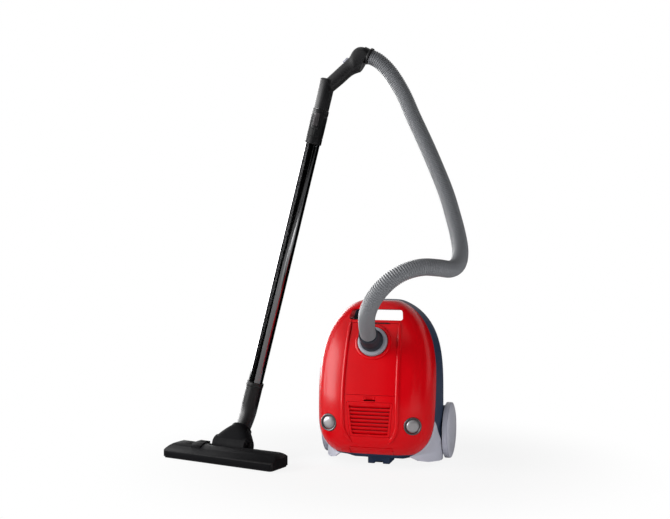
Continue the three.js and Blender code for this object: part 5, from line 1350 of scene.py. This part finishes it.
# %% [markdown]
# ## Materials
# One small class wraps a socket, so that shader maths reads as plain expressions, and one
# method makes every node. Each finish is a moulded or drawn surface, so they share a
# recipe: a slow drift of colour, a fine grain for the bump, gloss that varies with both,
# and a little rubbed paleness on the convex edges.


# %% Paint tools
class Value:
    """A socket that adds Math nodes when it is used in an expression."""

    def __init__(self, nodes, socket):
        self.nodes, self.socket = nodes, socket

    def __add__(self, other):
        return self.nodes.maths("ADD", self, other)

    def __sub__(self, other):
        return self.nodes.maths("SUBTRACT", self, other)

    def __mul__(self, other):
        return self.nodes.maths("MULTIPLY", self, other)

    __radd__, __rmul__ = __add__, __mul__


class Nodes:
    """The node tree of a material or a world, and the few moves that build it."""

    def __init__(self, owner):
        owner.use_nodes = True
        self.tree = owner.node_tree

    def fill(self, made, sockets):
        """Links or sets the inputs of a node."""
        for key, value in sockets.items():
            if isinstance(value, Value):
                self.tree.links.new(value.socket, made.inputs[key])
            else:
                made.inputs[key].default_value = value

    def node(self, kind, sockets, output=0, **settings):
        made = self.tree.nodes.new("ShaderNode" + kind)
        for key, value in settings.items():
            setattr(made, key, value)
        self.fill(made, sockets)
        return Value(self, made.outputs[output])

    def maths(self, operation, a, b):
        return self.node("Math", {0: a, 1: b}, operation=operation)

    def place(self):
        return self.node("TexCoord", {}, "Object")

    def noise(self, scale, detail):
        return self.node("TexNoise", {"Vector": self.place(), "Scale": scale, "Detail": detail})

    def rising(self, value, low, high):
        """0 at low, 1 at high, held outside."""
        sockets = {"Value": value, "From Min": low, "From Max": high}
        return self.node("MapRange", sockets, interpolation_type="SMOOTHSTEP", clamp=True)

    def mix(self, factor, a, b):
        return self.node("Mix", {0: factor, 6: a, 7: b}, 2, data_type="RGBA")

    def surface(self, output, factor, a, b):
        """Sends a mix of two shaders to the tree's output."""
        mixed = self.node("MixShader", {0: factor, 1: a, 2: b})
        self.fill(self.tree.nodes[output], {"Surface": mixed})


def rgb(r, g, b):
    return (r, g, b, 1.0)


WHITE = rgb(1, 1, 1)


# %% Finishes
def moulded(name, colour, dark, rough, grain, depth, gloss, worn=0, metal=0):
    """Moulded plastic: slow colour drift, fine grain, uneven gloss and rubbed edges."""
    material = bpy.data.materials.new(name)
    paint = Nodes(material)
    drift, fine = paint.noise(9, 3), paint.noise(grain, 2)
    surface = paint.mix(drift, rgb(*colour), rgb(*dark))
    if worn:
        edge = paint.rising(paint.node("NewGeometry", {}, "Pointiness"), 0.53, 0.62)
        pale = rgb(*[c + (0.5 - c) * 0.35 for c in colour])
        surface = paint.mix(edge * (paint.noise(60, 3) * worn), surface, pale)
    paint.fill(paint.tree.nodes["Principled BSDF"], {
        "Base Color": surface, "Metallic": metal, "Specular IOR Level": gloss,
        "Roughness": rough + (drift - 0.5) * 0.08 + (fine - 0.5) * 0.04,
        "Normal": paint.node("Bump", {"Height": fine, "Distance": depth * MM}),
    })
    return material


finish = {
    slot: moulded(*look)
    for slot, *look in (
        ("red_gloss", "red_gloss_plastic", (0.60, 0.0010, 0.005), (0.54, 0.0008, 0.004),
         0.24, 420, 0.004, 0.22),
        ("chassis_blue", "chassis_blue_plastic", (0.026, 0.042, 0.082), (0.020, 0.034, 0.070),
         0.45, 1400, 0.03, 0.04, 0.5),
        ("pale_grey", "pale_grey_plastic", (0.52, 0.525, 0.60), (0.47, 0.475, 0.55),
         0.30, 1200, 0.02, 0.4),
        ("collar", "collar_grey_plastic", (0.27, 0.275, 0.31), (0.23, 0.235, 0.27),
         0.34, 1200, 0.02, 0.4),
        ("button_metal", "silver_paint", (0.30, 0.29, 0.30), (0.36, 0.35, 0.36),
         0.32, 1600, 0.01, 0.5, 0, 0.5),
        ("dark_silver", "dark_silver_paint", (0.10, 0.09, 0.095), (0.13, 0.12, 0.125),
         0.3, 1600, 0.01, 0.5, 0, 0.7),
        ("black_plastic", "black_satin_plastic", (0.0055, 0.0055, 0.006),
         (0.0075, 0.0075, 0.0085), 0.55, 1500, 0.03, 0.015, 0.2),
        ("slate", "slate_plastic", (0.034, 0.037, 0.046), (0.024, 0.027, 0.034),
         0.6, 1500, 0.03, 0.03, 0.2),
        ("grip", "black_grip_plastic", (0.0065, 0.0065, 0.007), (0.009, 0.009, 0.010),
         0.42, 1500, 0.03, 0.35, 0.2),
        ("hose_grey", "hose_grey_plastic", (0.150, 0.155, 0.165), (0.130, 0.135, 0.145),
         0.40, 900, 0.03, 0.4, 0.3),
        ("chrome_tube", "polished_chrome", (0.22, 0.22, 0.225), (0.26, 0.26, 0.265),
         0.09, 60, 0.002, 0.5, 0, 1),
        ("steel", "plain_steel", (0.45, 0.45, 0.46), (0.52, 0.52, 0.53),
         0.34, 800, 0.03, 0.5, 0, 1),
        ("white_plastic", "white_plastic", (0.72, 0.72, 0.70), (0.68, 0.68, 0.66),
         0.42, 1200, 0.03, 0.5),
        ("black_rubber", "black_rubber", (0.015, 0.015, 0.015), (0.022, 0.022, 0.022),
         0.72, 700, 0.08, 0.3),
        ("foam", "filter_foam", (0.035, 0.037, 0.04), (0.06, 0.062, 0.066),
         0.95, 450, 0.6, 0.2),
        ("bag_paper", "bag_paper", (0.62, 0.50, 0.34), (0.52, 0.41, 0.27),
         0.88, 300, 0.25, 0.2),
    )
}
finish["bristle"] = finish["black_rubber"]
print("materials", len(bpy.data.materials))


# %% Painting
def paint(look, *pieces):
    for piece in pieces:
        piece.data.materials.clear()
        piece.data.materials.append(finish[look])


for row in frame["record"]["subparts"]:
    paint(row["material_slot"], nodes[row["node"]])
for piece, slot in finished:
    paint(slot, piece)
paint("collar", collar)
paint("dark_silver", button, *bezels)
paint("slate", elbow)
paint("grip", cuff, lock_collar, handle, neck)
paint("black_plastic", nodes["lid_hinge_pin"])
for helper in (form, form_inside, body_shell):
    bpy.data.objects.remove(helper)
print("painted", len(finished), "pieces")

# %% [markdown]
# ## Light, floor and background
# A large key lamp on the left, a still larger one behind it that only reflections see, and
# a weak fill on the right that they don't. The world is white to the camera and in
# reflections, and dim for everything else. Black cards, which only reflections see, keep
# the gloss deep where no lamp is reflected, as they do in a studio, and two narrow ones
# beside the wand give the bright tube its dark sides.

# %% Lights
MIDDLE = (0, 0, 0.3)


def lamp(name, spot, aim, size, power):
    light = bpy.data.lights.new(name, "AREA")
    light.shape = "RECTANGLE"
    light.size, light.size_y = size
    light.energy = power
    thing = placed(name, light)
    thing.location = spot
    thing.rotation_euler = (Vector(aim) - Vector(spot)).to_track_quat("-Z", "Y").to_euler()
    return thing


lamp("key", (-2.4, -1.5, 0.9), MIDDLE, (1.7, 1.7), 88)
lamp("left", (-2.3, 1.0, 0.8), MIDDLE, (3.2, 1.9), 165).visible_diffuse = False
fill = lamp("fill", (1.0, -0.95, 0.16), (0.05, -0.05, 0.1), (0.9, 0.3), 9)
fill.visible_glossy = False

# %% Cards
card_black = bpy.data.materials.new("card_black")
black_nodes = Nodes(card_black)
black_shader = black_nodes.tree.nodes["Principled BSDF"]
black_nodes.fill(black_shader, {"Base Color": rgb(0.004, 0.004, 0.004), "Specular IOR Level": 0})


def card(name, place, width, height):
    flag = primitive(name, bpy.ops.mesh.primitive_plane_add, size=1)
    flag.data.transform(place @ Matrix.Diagonal((width, height, 1, 1)))
    flag.data.materials.append(card_black)
    for ray in ("camera", "diffuse", "shadow", "transmission"):
        setattr(flag, "visible_" + ray, False)
    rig.stage(flag)


for name, spot, width, height in (
    ("card_front", (0.5, -2.3, 0.9), 2.2, 2.4),
    ("card_right", (2.2, -0.9, 0.9), 2.6, 2.4),
    ("card_top", (0.9, -0.4, 2.2), 2.2, 2.0),
    ("card_back", (1.5, 2.4, 0.6), 2.6, 1.8),
):
    card(name, facing(Vector(spot), Vector((0, 0, 0.4)) - Vector(spot)), width, height)
TUBE_GAP, TUBE_CARD_HIGH = 0.042, 0.72
for name, angle, width in (("card_tube_left", -49, 0.092), ("card_tube_right", 118, 0.06)):
    out = Vector((math.sin(math.radians(angle)), -math.cos(math.radians(angle)), 0))
    out = (out - tube_axis * out.dot(tube_axis)).normalized()
    spot = at(wand_point(0, 0, 391) + out * TUBE_GAP)
    card(name, spot @ axes(tube_axis.cross(out), tube_axis, out), width, TUBE_CARD_HIGH)
print("lamps and cards placed")

# %% World
world = bpy.data.worlds.new("studio")
bpy.context.scene.world = world
sky = Nodes(world)
seen = [sky.node("LightPath", {}, f"Is {ray} Ray") for ray in ("Camera", "Glossy", "Transmission")]
either = sky.maths("MAXIMUM", sky.maths("MAXIMUM", *seen[:2]), seen[2])
dim, bright = [sky.node("Background", {"Color": WHITE, "Strength": s}) for s in (0.14, 1.0)]
sky.surface("World Output", either, dim, bright)

# %% Floor
floor = primitive("floor", bpy.ops.mesh.primitive_plane_add, size=12, location=(0, 0, -0.0006))
floor_white = bpy.data.materials.new("floor_white")
ground = Nodes(floor_white)
spread = ground.node("VectorMath", {0: ground.place()}, "Value", operation="LENGTH")
glow_share = 0.88 + 0.12 * ground.rising(spread, 0.25, 0.7)
to_eye = ground.node("LightPath", {}, "Is Camera Ray")
matte = ground.node("BsdfDiffuse", {"Color": rgb(0.9, 0.9, 0.9)})
glow = ground.node("Emission", {"Color": WHITE})
ground.surface("Material Output", to_eye * glow_share, matte, glow)
floor.data.materials.append(floor_white)
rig.stage(floor)
bpy.context.scene.view_settings.view_transform = "Standard"
print("floor and world ready")

# %% Sizes and finish
json.dump(
    {"cad": [list(map(float, c)) for c in cad_box], "visual": [list(map(float, c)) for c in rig.bounds()]},
    open("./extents.json", "w"),
)
